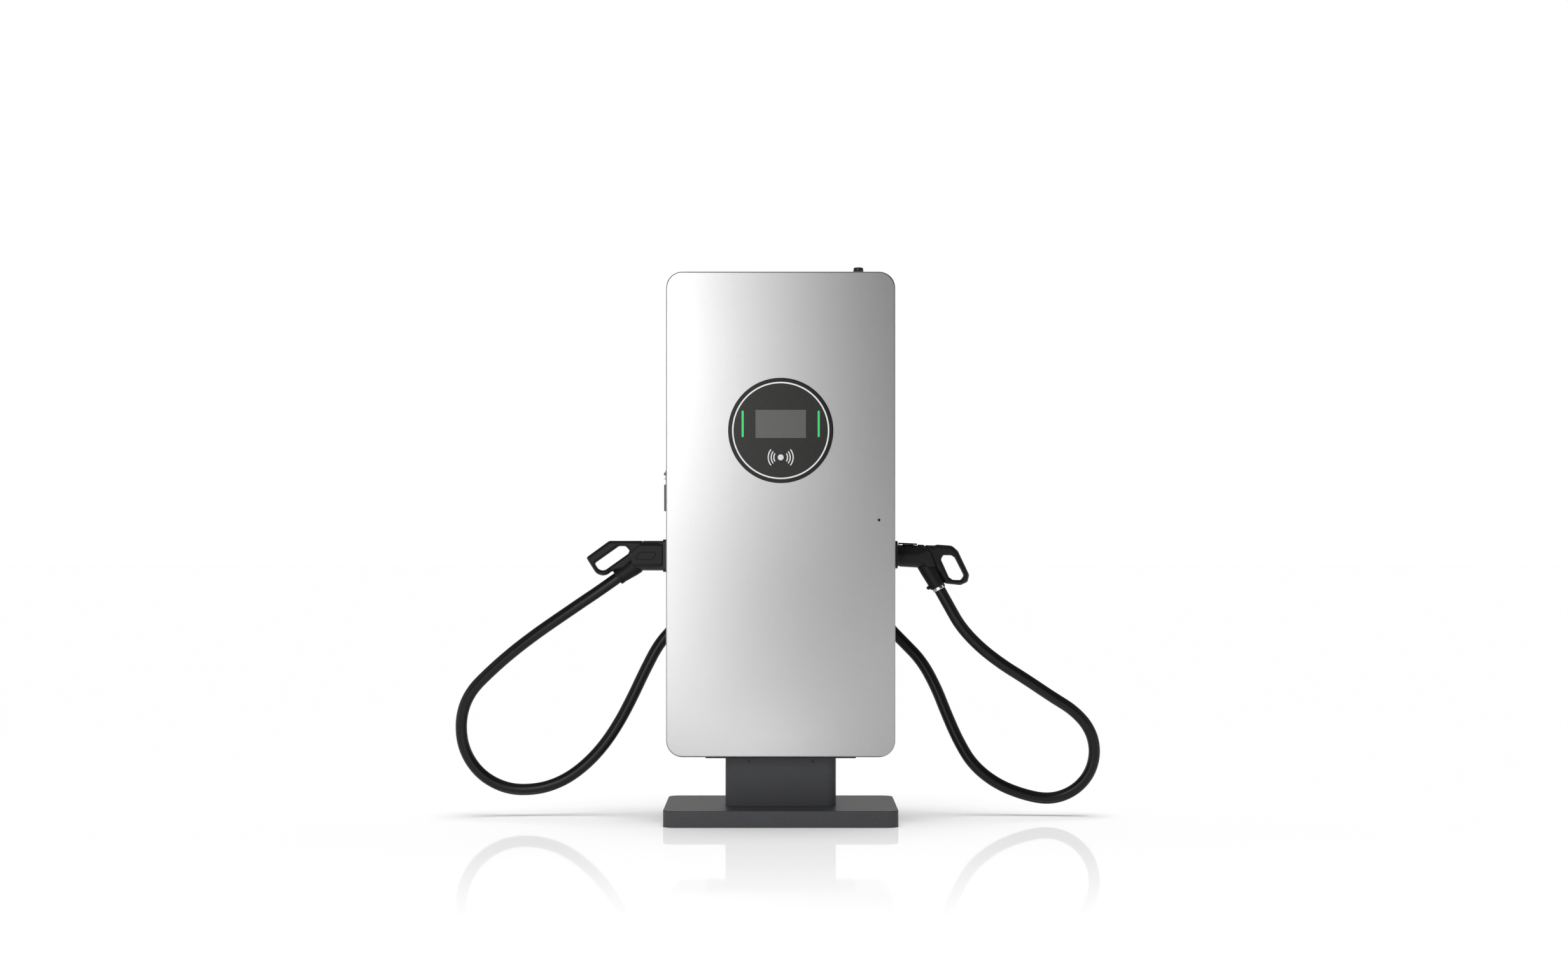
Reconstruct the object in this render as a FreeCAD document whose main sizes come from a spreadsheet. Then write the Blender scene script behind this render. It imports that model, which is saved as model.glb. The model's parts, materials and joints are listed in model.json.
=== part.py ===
import FreeCAD, Part
import math
import os
import re
import Sketcher

# Floor-standing double charging post for electric cars.  Millimetres, +Z up, front face towards -Y.
# Origin: centre of the base's underside, on the floor.

Vector = FreeCAD.Vector
Rotation = FreeCAD.Rotation
Placement = FreeCAD.Placement
ALONG_X = Rotation(Vector(0, 1, 0), 90)
ALONG_Y = Rotation(Vector(1, 0, 0), -90)
UPRIGHT = Rotation()

doc = FreeCAD.newDocument("charging_post")

# ---------------------------------------------------------------- driving dimensions
DIMENSIONS = [
    ("base_wide", 712, "base cover, left to right"),
    ("base_deep", 450, "base cover, front to back"),
    ("base_tall", 50, "base cover height"),
    ("base_round", 35, "plan corner radius of the base cover"),
    ("plate_wide", 660, "steel floor plate"),
    ("plate_deep", 400, "steel floor plate"),
    ("plate_thick", 10, "steel floor plate"),
    ("anchor_wide", 560, "anchor bolt spacing, left to right"),
    ("anchor_deep", 320, "anchor bolt spacing, front to back"),
    ("anchor_hole", 7, "radius of an anchor hole, for M12"),
    ("supply_bore", 50, "radius of the supply cable hole"),
    ("column_wide", 340, "column, left to right"),
    ("column_deep", 160, "column, front to back"),
    ("column_round", 27, "corner radius of the column"),
    ("column_wall", 4, "column sheet"),
    ("column_top", 198, "height of the column's top edge"),
    ("flange_wide", 460, "plate between column and cabinet"),
    ("flange_deep", 160, "plate between column and cabinet"),
    ("flange_set", 20, "centre of that plate behind the column's centre"),
    ("flange_thick", 5, "plate between column and cabinet"),
    ("apron_front", 105, "front edge of that plate's thin apron, before the column's centre"),
    ("apron_thick", 2.5, "apron under the door"),
    ("door_clear", 2, "apron below the door"),
    ("column_screw_set", 98, "small screw near the column's top, out from the centre"),
    ("duct_wide", 240, "cable duct through flange and cabinet floor"),
    ("duct_deep", 100, "cable duct through flange and cabinet floor"),
    ("cabinet_wide", 700, "cabinet and door, left to right"),
    ("cabinet_deep", 250, "door face to cabinet back"),
    ("cabinet_low", 203, "height of the cabinet's underside"),
    ("cabinet_tall", 1482, "cabinet and door height"),
    ("corner_round", 50, "rounding of the cabinet's front outline"),
    ("skin", 3, "cabinet sheet"),
    ("lip_wide", 14, "folded edge of door and cabinet"),
    ("door_deep", 60, "depth of the door tray"),
    ("door_gap", 4, "gap between door and cabinet"),
    ("rear_drop", 390, "middle of the rear opening below the cabinet's top"),
    ("antenna_set", 241, "antenna axis, right of the centre"),
    ("antenna_round", 14.9, "antenna cap radius"),
    ("antenna_tall", 25, "top of the antenna cap above the roof"),
    ("hinge_round", 5, "hinge knuckle radius"),
    ("hinge_bore", 2.5, "hinge pin radius"),
    ("hinge_tall", 70, "one hinge"),
    ("hinge_inset", 3.5, "hinge axis inside the cabinet's side"),
    ("display_high", 1200, "height of the display's centre"),
    ("display_round", 160.5, "outer radius of the display bezel"),
    ("ring_outer", 150, "outer radius of the white ring"),
    ("ring_inner", 144, "inner radius of the white ring"),
    ("display_proud", 5, "bezel in front of the door"),
    ("lcd_wide", 154, "screen"),
    ("lcd_tall", 86, "screen"),
    ("lcd_high", 1220, "height of the screen's centre"),
    ("light_span", 116, "light bar, out from the centre"),
    ("light_wide", 8, "light bar"),
    ("light_tall", 81, "light bar"),
    ("symbol_high", 1118, "height of the card symbol"),
    ("lock_high", 1060, "height of the lock's axis"),
    ("lock_set", 95, "lock axis in front of the cabinet's centre"),
    ("gun_set", 30, "connector's middle plane behind the centre"),
    ("left_high", 817, "height of the left connector"),
    ("right_high", 820, "height of the right connector"),
    ("holster_proud", 15, "holster flange, out from the cabinet's side"),
    ("nose_long", 46, "connector nose inside the holster"),
    ("cable_round", 18, "radius of a charging cable"),
    ("outlet_low", 830, "underside of the rear cable box"),
    ("outlet_tall", 100, "rear cable box"),
    ("outlet_wide", 690, "rear cable box"),
    ("outlet_deep", 80, "rear cable box"),
    ("gland_span", 305, "gland, out from the centre"),
    ("gland_set", 165, "gland axis behind the centre"),
    ("fan_side", 172, "fan frame"),
    ("fan_deep", 24, "fan frame"),
    ("fan_round", 76, "fan blade tip radius"),
    ("fan_low", 1180, "height of the lower fan"),
    ("fan_high", 1480, "height of the upper fan"),
]
VALUES = {alias: value for alias, value, meaning in DIMENSIONS}

sheet = doc.addObject("Spreadsheet::Sheet", "Dims")
for row, (alias, value, meaning) in enumerate(DIMENSIONS, start=1):
    sheet.set(f"A{row}", str(value))
    sheet.setAlias(f"A{row}", alias)
    sheet.set(f"B{row}", meaning)
doc.recompute()

nodes = {}


def bound(formula):
    """A formula of sheet aliases, in the form that FreeCAD binds to."""
    return re.sub(r"[a-z]\w*", lambda word: "Dims." + word.group(), str(formula))


def size(formula):
    """The value of a formula of sheet aliases."""
    return float(sheet.evalExpression(bound(formula)))


def node(label, thing):
    """Name a finished sub-part."""
    thing.Label = label
    nodes[label] = thing
    return thing


# ---------------------------------------------------------------- primitives and booleans
def place(thing, at, turn=UPRIGHT):
    """Turn a primitive and bind its position to the sheet."""
    thing.Placement = Placement(Vector(*[size(part) for part in at]), turn)
    for axis, formula in zip("xyz", at):
        thing.setExpression(f".Placement.Base.{axis}", bound(formula))
    return thing


def box(lengths, at):
    """A block with its lowest corner at a point."""
    thing = doc.addObject("Part::Box", "block")
    for name, formula in zip(("Length", "Width", "Height"), lengths):
        thing.setExpression(name, bound(formula))
    return place(thing, at)


def rod(radius, length, at, turn=UPRIGHT):
    """A round bar that starts at a point."""
    thing = doc.addObject("Part::Cylinder", "bar")
    thing.setExpression("Radius", bound(radius))
    thing.setExpression("Height", bound(length))
    return place(thing, at, turn)


def taper(radius, end_radius, length, at, turn=UPRIGHT):
    """A round bar whose radius changes along it."""
    thing = doc.addObject("Part::Cone", "taper")
    thing.setExpression("Radius1", bound(radius))
    thing.setExpression("Radius2", bound(end_radius))
    thing.setExpression("Height", bound(length))
    return place(thing, at, turn)


def hexagon(radius, length, at, turn=UPRIGHT):
    """A six-sided bar, by the radius over its corners."""
    thing = doc.addObject("Part::Prism", "hexagon")
    thing.Polygon = 6
    thing.setExpression("Circumradius", bound(radius))
    thing.setExpression("Height", bound(length))
    return place(thing, at, turn)


def join(*things):
    """One shape from several."""
    thing = doc.addObject("Part::MultiFuse", "join")
    thing.Shapes = list(things)
    thing.Refine = True
    return thing


def group(*things):
    """Separate solids kept together."""
    thing = doc.addObject("Part::Compound", "group")
    thing.Links = list(things)
    return thing


def cut(base, *tools):
    """A shape with others taken away."""
    thing = doc.addObject("Part::Cut", "cut")
    thing.Base = base
    thing.Tool = tools[0] if len(tools) == 1 else join(*tools)
    doc.recompute()
    before = base.Shape.Volume
    if thing.Shape.Volume >= before - 1e-6:
        raise ValueError(f"a cut of {base.Label} takes nothing away")
    return thing


def rounded(base, radius, wanted):
    """Round the edges that a test picks."""
    doc.recompute()
    thing = doc.addObject("Part::Fillet", "rounded")
    thing.Base = base
    thing.Edges = [(i, radius, radius) for i, edge in enumerate(base.Shape.Edges, start=1) if wanted(edge)]
    return thing


def runs_along(axis):
    """A test for straight edges along one axis."""
    return lambda edge: edge.Curve.TypeId == "Part::GeomLine" and abs(edge.Curve.Direction[axis]) > 0.999


def lies_on(axis, value):
    """A test for edges in one plane."""
    def test(edge):
        return all(abs(vertex.Point[axis] - value) < 1e-4 for vertex in edge.Vertexes)
    return test


# ---------------------------------------------------------------- sketched bodies
def start(label):
    """An empty body."""
    body = doc.addObject("PartDesign::Body", label)
    doc.recompute()
    return body


def sketch_on(body, role, offset, across="0", along="0"):
    """A sketch on one of the body's own planes, moved along the plane's normal."""
    plane = [f for f in body.Origin.OriginFeatures if f.Role == role][0]
    sketch = body.newObject("Sketcher::SketchObject", "profile")
    sketch.AttachmentSupport = [(plane, "")]
    sketch.MapMode = "FlatFace"
    for axis, formula in zip("xyz", (across, along, offset)):
        sketch.setExpression(f".AttachmentOffset.Base.{axis}", bound(formula))
    return sketch


def draw_plate(sketch, wide, tall, radius):
    """A rectangle with rounded corners, centred on the sketch and bound to the sheet."""
    half_wide = size(wide) / 2
    half_tall = size(tall) / 2
    r = size(radius)
    quarter = math.pi / 2
    corners = [(1, -1), (1, 1), (-1, 1), (-1, -1)]
    ids = []
    for turn, (sx, sy) in enumerate(corners):
        middle = Vector(sx * (half_wide - r), sy * (half_tall - r), 0)
        first = (turn - 1) * quarter
        arc = Part.ArcOfCircle(Part.Circle(middle, Vector(0, 0, 1), r), first, first + quarter)
        nx, ny = corners[(turn + 1) % 4]
        beyond = Vector(nx * (half_wide - r), ny * (half_tall - r), 0)
        outward = Vector(math.cos(first + quarter), math.sin(first + quarter), 0) * r
        side = Part.LineSegment(middle + outward, beyond + outward)
        ids += list(sketch.addGeometry([arc, side], False))
    Rule = Sketcher.Constraint
    rules = [Rule("Tangent", ids[i], 2, ids[(i + 1) % 8], 1) for i in range(8)]
    rules += [Rule("Equal", ids[i], ids[i + 2]) for i in (0, 2, 4)]
    rules += [Rule("Vertical", ids[1]), Rule("Horizontal", ids[3]), Rule("Vertical", ids[5])]
    rules += [Rule("Symmetric", ids[0], 3, ids[4], 3, -1, 1)]
    sketch.addConstraint(rules)
    measures = [
        ("wide", Rule("DistanceX", ids[5], 1, ids[1], 1, 2 * half_wide), wide),
        ("tall", Rule("DistanceY", ids[7], 1, ids[3], 1, 2 * half_tall), tall),
        ("corner", Rule("Radius", ids[0], r), radius),
    ]
    for name, rule, formula in measures:
        index = sketch.addConstraint(rule)
        sketch.renameConstraint(index, f"{name}{index}")
        sketch.setExpression(f"Constraints.{name}{index}", bound(formula))


def draw_circle(sketch, radius):
    """A circle about the sketch's origin, bound to the sheet."""
    circle = sketch.addGeometry(Part.Circle(Vector(0, 0, 0), Vector(0, 0, 1), size(radius)), False)
    sketch.addConstraint(Sketcher.Constraint("Coincident", circle, 3, -1, 1))
    index = sketch.addConstraint(Sketcher.Constraint("Radius", circle, size(radius)))
    sketch.renameConstraint(index, f"round{index}")
    sketch.setExpression(f"Constraints.round{index}", bound(radius))


def pad(body, sketch, length, backwards=False):
    """Add a sketch's outline to the body."""
    feature = body.newObject("PartDesign::Pad", "pad")
    feature.Profile = sketch
    feature.Reversed = backwards
    feature.setExpression("Length", bound(length))
    doc.recompute()
    return feature


def pocket(body, sketch, length, backwards=False):
    """Take a sketch's outline out of the body, and make sure that it took something."""
    before = body.Shape.Volume
    feature = body.newObject("PartDesign::Pocket", "pocket")
    feature.Profile = sketch
    feature.Reversed = backwards
    feature.setExpression("Length", bound(length))
    doc.recompute()
    if body.Shape.Volume >= before - 1e-6:
        raise ValueError(f"a pocket in {body.Label} cuts nothing")
    return feature


def round_edges(body, radius, wanted):
    """Round the edges of a body that a test picks."""
    last = body.Tip
    names = [f"Edge{i}" for i, edge in enumerate(last.Shape.Edges, start=1) if wanted(edge)]
    feature = body.newObject("PartDesign::Fillet", "rounding")
    feature.Base = (last, names)
    feature.Radius = radius
    doc.recompute()
    return feature


def plate_body(label, role, offset, wide, tall, radius, thick, across="0", along="0"):
    """A rounded plate as a body, its thickness along the plane's normal."""
    body = start(label)
    sketch = sketch_on(body, role, offset, across, along)
    draw_plate(sketch, wide, tall, radius)
    pad(body, sketch, thick)
    return body


# ---------------------------------------------------------------- base and column
def make_base():
    """Floor plate with anchor holes, and the cover that drops over it."""
    plate = plate_body("floor_plate", "XY_Plane", "0", "plate_wide", "plate_deep", "20", "plate_thick")
    bore = sketch_on(plate, "XY_Plane", "0")
    draw_circle(bore, "supply_bore")
    pocket(plate, bore, "plate_thick", backwards=True)
    for sx in (-1, 1):
        for sy in (-1, 1):
            hole = sketch_on(plate, "XY_Plane", "0", f"{sx}*anchor_wide/2", f"{sy}*anchor_deep/2")
            draw_circle(hole, "anchor_hole")
            pocket(plate, hole, "plate_thick", backwards=True)
    node("base_plate", plate)

    cover = plate_body("cover", "XY_Plane", "0", "base_wide", "base_deep", "base_round", "base_tall")
    inside = sketch_on(cover, "XY_Plane", "0")
    draw_plate(inside, "base_wide-2*skin", "base_deep-2*skin", "base_round-skin")
    pocket(cover, inside, "base_tall-skin", backwards=True)
    hole = sketch_on(cover, "XY_Plane", "base_tall")
    draw_plate(hole, "column_wide+1", "column_deep+1", "column_round+0.5")
    pocket(cover, hole, "skin")
    rim = lies_on(2, size("base_tall"))
    hole_reach = size("column_wide") / 2 + 5
    hole_depth = size("column_deep") / 2 + 5
    round_edges(cover, 2, lambda e: rim(e) and (abs(e.CenterOfMass.x) > hole_reach
                                                or abs(e.CenterOfMass.y) > hole_depth))
    node("base_cover", cover)


def flange_bolt_place(sx, sy):
    """Where a column bolt stands, by its corner."""
    return f"{sx}*(flange_wide/2-30)", f"flange_set{sy:+d}*(flange_deep/2-25)"


def make_column():
    """Hollow column, the plate on it with its apron, and the low-headed bolts up into the cabinet."""
    column = plate_body("tube", "XY_Plane", "plate_thick", "column_wide", "column_deep", "column_round",
                        "column_top-plate_thick")
    inside = sketch_on(column, "XY_Plane", "column_top")
    draw_plate(inside, "column_wide-2*column_wall", "column_deep-2*column_wall", "column_round-column_wall")
    pocket(column, inside, "column_top-plate_thick")
    shafts = [rod("2.2", "30", (f"{sx}*column_screw_set", "-column_deep/2-10", "column_top-12"), ALONG_Y)
              for sx in (-1, 1)]
    node("column", cut(column, *shafts))

    flange = plate_body("plate", "XY_Plane", "column_top", "flange_wide", "flange_deep", "12", "flange_thick",
                        along="flange_set")
    duct = sketch_on(flange, "XY_Plane", "column_top")
    draw_plate(duct, "duct_wide", "duct_deep", "20")
    pocket(flange, duct, "flange_thick", backwards=True)
    for sx in (-1, 1):
        for sy in (-1, 1):
            hole = sketch_on(flange, "XY_Plane", "column_top", *flange_bolt_place(sx, sy))
            draw_circle(hole, "5.3")
            pocket(flange, hole, "flange_thick", backwards=True)
    apron = box(("flange_wide", "apron_front+flange_set-flange_deep/2+5", "apron_thick"),
                ("-flange_wide/2", "-apron_front", "column_top+flange_thick-door_clear-apron_thick"))
    node("column_flange", join(flange, apron))

    bolts = []
    for sx in (-1, 1):
        for sy in (-1, 1):
            x, y = flange_bolt_place(sx, sy)
            head = rod("9.5", "2.4", (x, y, "column_top-2.4"))
            shank = rod("5", "20", (x, y, "column_top-1"))
            nut = hexagon("9.2", "8", (x, y, "cabinet_low+skin"))
            bolts.append(join(head, shank, nut))
    node("column_bolts", group(*bolts))


# ---------------------------------------------------------------- cabinet
def flange_bolt_holes():
    """Clearance holes for the column bolts in the cabinet's floor."""
    spots = [flange_bolt_place(sx, sy) for sx in (-1, 1) for sy in (-1, 1)]
    return [rod("5.3", "20", (x, y, "cabinet_low-5")) for x, y in spots]


def hinge_heights():
    """Low ends of the three hinges."""
    return ["cabinet_low+150", "cabinet_low+cabinet_tall/2-hinge_tall/2",
            "cabinet_low+cabinet_tall-150-hinge_tall"]


REAR_MIDDLE = "cabinet_low+cabinet_tall-rear_drop"


def make_cabinet():
    """Cabinet shell: open to the front, with a rear opening, a duct and holes for what is fitted to it."""
    middle = "cabinet_low+cabinet_tall/2"
    body = plate_body("shell", "XZ_Plane", "-cabinet_deep/2", "cabinet_wide", "cabinet_tall", "corner_round",
                      "cabinet_deep-door_deep-door_gap", along=middle)
    front = "(cabinet_deep/2-door_deep-door_gap)"
    inside = sketch_on(body, "XZ_Plane", front, along=middle)
    draw_plate(inside, "cabinet_wide-2*skin", "cabinet_tall-2*skin", "corner_round-skin")
    pocket(body, inside, "cabinet_deep-door_deep-door_gap-skin")
    lip = sketch_on(body, "XZ_Plane", front + "-skin", along=middle)
    draw_plate(lip, "cabinet_wide-2", "cabinet_tall-2", "corner_round-1")
    draw_plate(lip, "cabinet_wide-2*lip_wide", "cabinet_tall-2*lip_wide", "corner_round-lip_wide")
    pad(body, lip, "skin")
    rear = sketch_on(body, "XZ_Plane", "-cabinet_deep/2", along=REAR_MIDDLE)
    draw_plate(rear, "540", "620", "20")
    pocket(body, rear, "skin", backwards=True)
    duct = box(("duct_wide", "duct_deep", "20"), ("-duct_wide/2", "-duct_deep/2", "cabinet_low-5"))
    antenna = rod("8", "20", ("antenna_set", "0", "cabinet_low+cabinet_tall-10"))
    wires = [box(("60", "20", "40"), (x, "cabinet_deep/2-10", "outlet_low+30")) for x in ("-260", "200")]
    noses = [nose_envelope("left", 2, "-cabinet_wide/2-5", "20"),
             nose_envelope("right", 2, "cabinet_wide/2-15", "20")]
    notches = [box(("12", "skin+0.3", "hinge_tall+2"),
                   ("cabinet_wide/2-11", "-" + front + "-0.1", low + "-1"))
               for low in hinge_heights()]
    screws = rear_screw_holes("1.6", "cabinet_deep/2-skin-4", "10")
    tools = [duct, antenna] + wires + noses + notches + flange_bolt_holes() + screws
    node("cabinet_body", cut(body, *tools))

    seal = start("seal")
    ring = sketch_on(seal, "XZ_Plane", front, along=middle)
    draw_plate(ring, "cabinet_wide-16", "cabinet_tall-16", "corner_round-8")
    draw_plate(ring, "cabinet_wide-26", "cabinet_tall-26", "corner_round-13")
    pad(seal, ring, "door_gap-0.3")
    clear = [box(("20", "10", "hinge_tall+8"), ("cabinet_wide/2-14", "-" + front + "-8", low + "-4"))
             for low in hinge_heights()]
    node("door_gasket", cut(seal, *clear))


def rear_screw_holes(radius, y, length):
    """Places of the rear panel's screws, as bars of one radius."""
    spots = [(sx * 285, sz) for sx in (-1, 1) for sz in (-325, 0, 325)]
    return [rod(radius, length, (str(x), y, f"{REAR_MIDDLE}{z:+d}"), ALONG_Y) for x, z in spots]


def make_rear():
    """Vented rear panel, cable box with its glands, and the small screws."""
    panel = plate_body("vented", "XZ_Plane", "-cabinet_deep/2-2", "600", "680", "14", "2",
                       along=REAR_MIDDLE)
    slots = []
    for fan in ("fan_low", "fan_high"):
        for step in range(-4, 5):
            slots.append(box(("160", "10", "6"), ("-80", "cabinet_deep/2-4", f"{fan}+{step}*18-3")))
    holes = rear_screw_holes("2.2", "cabinet_deep/2-4", "10")
    node("rear_panel", cut(panel, *slots, *holes))

    outer = box(("outlet_wide", "outlet_deep", "outlet_tall"),
                ("-outlet_wide/2", "cabinet_deep/2", "outlet_low"))
    shell = rounded(outer, 10, lambda e: runs_along(2)(e) and e.CenterOfMass.y > size("cabinet_deep/2+10"))
    inner = box(("outlet_wide-2*skin", "outlet_deep-skin+5", "outlet_tall-2*skin"),
                ("-outlet_wide/2+skin", "cabinet_deep/2-5", "outlet_low+skin"))
    bores = [rod("22", "20", (f"{side}*gland_span", "gland_set", "outlet_low-5")) for side in (-1, 1)]
    node("rear_cable_box", cut(shell, inner, *bores))

    glands = []
    boots = []
    for side in (-1, 1):
        x = f"{side}*gland_span"
        thread = rod("21.9", "22", (x, "gland_set", "outlet_low-2"))
        hexes = hexagon("31", "14", (x, "gland_set", "outlet_low-14"))
        dome = taper("26", "29", "16", (x, "gland_set", "outlet_low-30"))
        core = rod("cable_round+0.5", "70", (x, "gland_set", "outlet_low-40"))
        glands.append(cut(join(thread, hexes, dome), core))
        boots.append(taper("cable_round+2", "25", "43.5", (x, "gland_set", "outlet_low-30-43.5")))
    node("cable_glands", group(*glands))
    node("gland_boots", group(*boots))

    rear = []
    for head, shank in zip(rear_screw_holes("4", "cabinet_deep/2+2", "2.4"),
                           rear_screw_holes("1.5", "cabinet_deep/2-5", "8")):
        rear.append(join(head, shank))
    front = []
    for sx in (-1, 1):
        x = f"{sx}*column_screw_set"
        head = rod("4", "2", (x, "-column_deep/2-2", "column_top-12"), ALONG_Y)
        shank = rod("2", "14", (x, "-column_deep/2-1", "column_top-12"), ALONG_Y)
        front.append(join(head, shank))
    node("panel_screws", group(*rear, *front))


def make_antenna():
    """Modem antenna: a ribbed cap on a wider foot on the roof, with its threaded stem and nut."""
    top = "cabinet_low+cabinet_tall"
    foot = rod("antenna_round+1.5", "5", ("antenna_set", "0", top))
    cap = rod("antenna_round", "antenna_tall-5", ("antenna_set", "0", top + "+5"))
    soft = rounded(cap, 3, lies_on(2, size(top + "+antenna_tall")))
    ribs = []
    for i in range(24):
        spin = math.radians(15 * i)
        x = f"antenna_set+{math.cos(spin):.4f}*(antenna_round-0.2)"
        y = f"{math.sin(spin):.4f}*(antenna_round-0.2)"
        ribs.append(rod("0.8", "antenna_tall-11", (x, y, top + "+5")))
    stem = rod("7.9", "20", ("antenna_set", "0", top + "-19"))
    nut = hexagon("14", "7", ("antenna_set", "0", top + "-skin-7"))
    node("antenna", join(foot, soft, stem, nut, *ribs))


# ---------------------------------------------------------------- door
def make_door():
    """Door tray with a folded edge and holes for the display, the sensor and the lock."""
    middle = "cabinet_low+cabinet_tall/2"
    back = "(cabinet_deep/2-door_deep)"
    body = plate_body("tray", "XZ_Plane", back, "cabinet_wide", "cabinet_tall", "corner_round", "door_deep",
                      along=middle)
    inside = sketch_on(body, "XZ_Plane", back, along=middle)
    draw_plate(inside, "cabinet_wide-2*skin", "cabinet_tall-2*skin", "corner_round-skin")
    pocket(body, inside, "door_deep-skin", backwards=True)
    lip = sketch_on(body, "XZ_Plane", back, along=middle)
    draw_plate(lip, "cabinet_wide-2", "cabinet_tall-2", "corner_round-1")
    draw_plate(lip, "cabinet_wide-2*lip_wide", "cabinet_tall-2*lip_wide", "corner_round-lip_wide")
    pad(body, lip, "skin")
    window = sketch_on(body, "XZ_Plane", "cabinet_deep/2", along="display_high")
    draw_circle(window, "ring_outer+3")
    pocket(body, window, "skin")
    rim = lies_on(1, -size("cabinet_deep") / 2)
    window_reach = size("ring_outer") + 20
    window_middle = Vector(0, -size("cabinet_deep") / 2, size("display_high"))
    round_edges(body, 4.2, lambda e: rim(e) and (e.CenterOfMass - window_middle).Length > window_reach)
    sensor = rod("4.3", "20", ("300", "-cabinet_deep/2-5", "927"), ALONG_Y)
    spindle = rod("8.5", "20", ("-cabinet_wide/2-5", "-lock_set", "lock_high"), ALONG_X)
    notches = [box(("12", "5.6", "hinge_tall+2"), ("cabinet_wide/2-11", "-" + back + "-5.5", low + "-1"))
               for low in hinge_heights()]
    node("door_shell", cut(body, sensor, spindle, *notches))

    hats = []
    for side in (-1, 1):
        outer = box(("50", "16", "cabinet_tall-160"),
                    (f"{side}*230-25", "-cabinet_deep/2+skin", "cabinet_low+80"))
        inner = box(("44", "14", "cabinet_tall-150"),
                    (f"{side}*230-22", "-cabinet_deep/2+skin-1", "cabinet_low+75"))
        hats.append(cut(outer, inner))
    node("door_stiffeners", group(*hats))


def make_hinges():
    """Three hinges: two outer knuckles and the pin on the cabinet, one inner knuckle on the door."""
    x = "cabinet_wide/2-hinge_inset"
    y = "-cabinet_deep/2+door_deep"
    fixed = []
    swung = []
    for low in hinge_heights():
        pin = rod("hinge_bore", "hinge_tall", (x, y, low))
        knuckles = [rod("hinge_round", "20", (x, y, z)) for z in (low, low + "+hinge_tall-20")]
        leaf = box(("5.5", "42", "hinge_tall"), (x + "-5", y + "+7.2", low))
        arms = [box(("4", "8.5", "20"), (x + "-5", y, z)) for z in (low, low + "+hinge_tall-20")]
        fixed.append(join(pin, leaf, *knuckles, *arms))
        middle = rod("hinge_round", "hinge_tall-40.6", (x, y, low + "+20.3"))
        arm = box(("4", "9", "hinge_tall-40.6"), (x + "-5", y + "-9", low + "+20.3"))
        plate = box(("5.5", "40", "hinge_tall"), (x + "-5", y + "-48", low))
        hole = rod("hinge_bore+0.05", "hinge_tall+2", (x, y, low + "-1"))
        swung.append(cut(join(middle, arm, plate), hole))
    node("hinge_cabinet_leaves", group(*fixed))
    node("hinge_door_leaves", group(*swung))


def disc(radius, thick, front):
    """A round slab behind a plane that lies in front of the door, on the display's axis."""
    return rod(radius, thick, ("0", "-cabinet_deep/2-display_proud+" + front, "display_high"), ALONG_Y)


def make_display():
    """Round operator panel: bezel, light ring, glass, screen, light bars, card symbol and what is behind."""
    flange = disc("display_round", "display_proud", "0")
    sleeve = disc("ring_outer+2.7", "30", "0")
    core = disc("ring_outer+0.2", "60", "-10")
    blank = rounded(flange, 2.5, lies_on(1, -size("cabinet_deep/2+display_proud")))
    node("display_bezel", cut(join(blank, sleeve), core))
    node("display_ring", cut(disc("ring_outer", "8", "1"), disc("ring_inner", "20", "-5")))

    glass = disc("ring_inner-0.2", "6", "1.4")
    face = "-cabinet_deep/2-display_proud+1.4"
    window = box(("lcd_wide+0.6", "20", "lcd_tall+0.6"),
                 ("-lcd_wide/2-0.3", face + "-5", "lcd_high-lcd_tall/2-0.3"))
    bars = []
    slots = []
    for side in (-1, 1):
        x = f"{side}*light_span"
        for target, grow, thick, lead in ((bars, "0", "5", "0.2"), (slots, "0.3", "20", "-5")):
            y = face + "+" + lead
            mid = box((f"light_wide+2*{grow}", thick, "light_tall-light_wide"),
                      (f"{x}-light_wide/2-{grow}", y, "lcd_high-light_tall/2+light_wide/2"))
            ends = [rod(f"light_wide/2+{grow}", thick, (x, y, f"lcd_high{way}(light_tall/2-light_wide/2)"),
                        ALONG_Y) for way in "+-"]
            target.append(join(mid, *ends))
    node("display_glass", cut(glass, window, *slots))
    lcd = box(("lcd_wide", "5", "lcd_tall"), ("-lcd_wide/2", face + "+0.3", "lcd_high-lcd_tall/2"))
    node("lcd_panel", lcd)
    node("status_lights", group(*bars))
    make_symbol(face)

    can = disc("ring_outer-3", "45", "9.5")
    hollow = disc("ring_outer-5.5", "42", "8")
    node("display_housing", cut(can, hollow))
    board = rod("120", "1.6", ("0", face + "+30", "display_high"), ALONG_Y)
    reader = box(("90", "1.6", "60"), ("-45", face + "+14", "symbol_high-30"))
    node("display_boards", group(board, reader))

    lens = taper("4.5", "4", "1.5", ("300", "-cabinet_deep/2", "927"), Rotation(Vector(1, 0, 0), 90))
    body = rod("4", "12", ("300", "-cabinet_deep/2", "927"), ALONG_Y)
    node("sensor_lens", join(lens, body))


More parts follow.
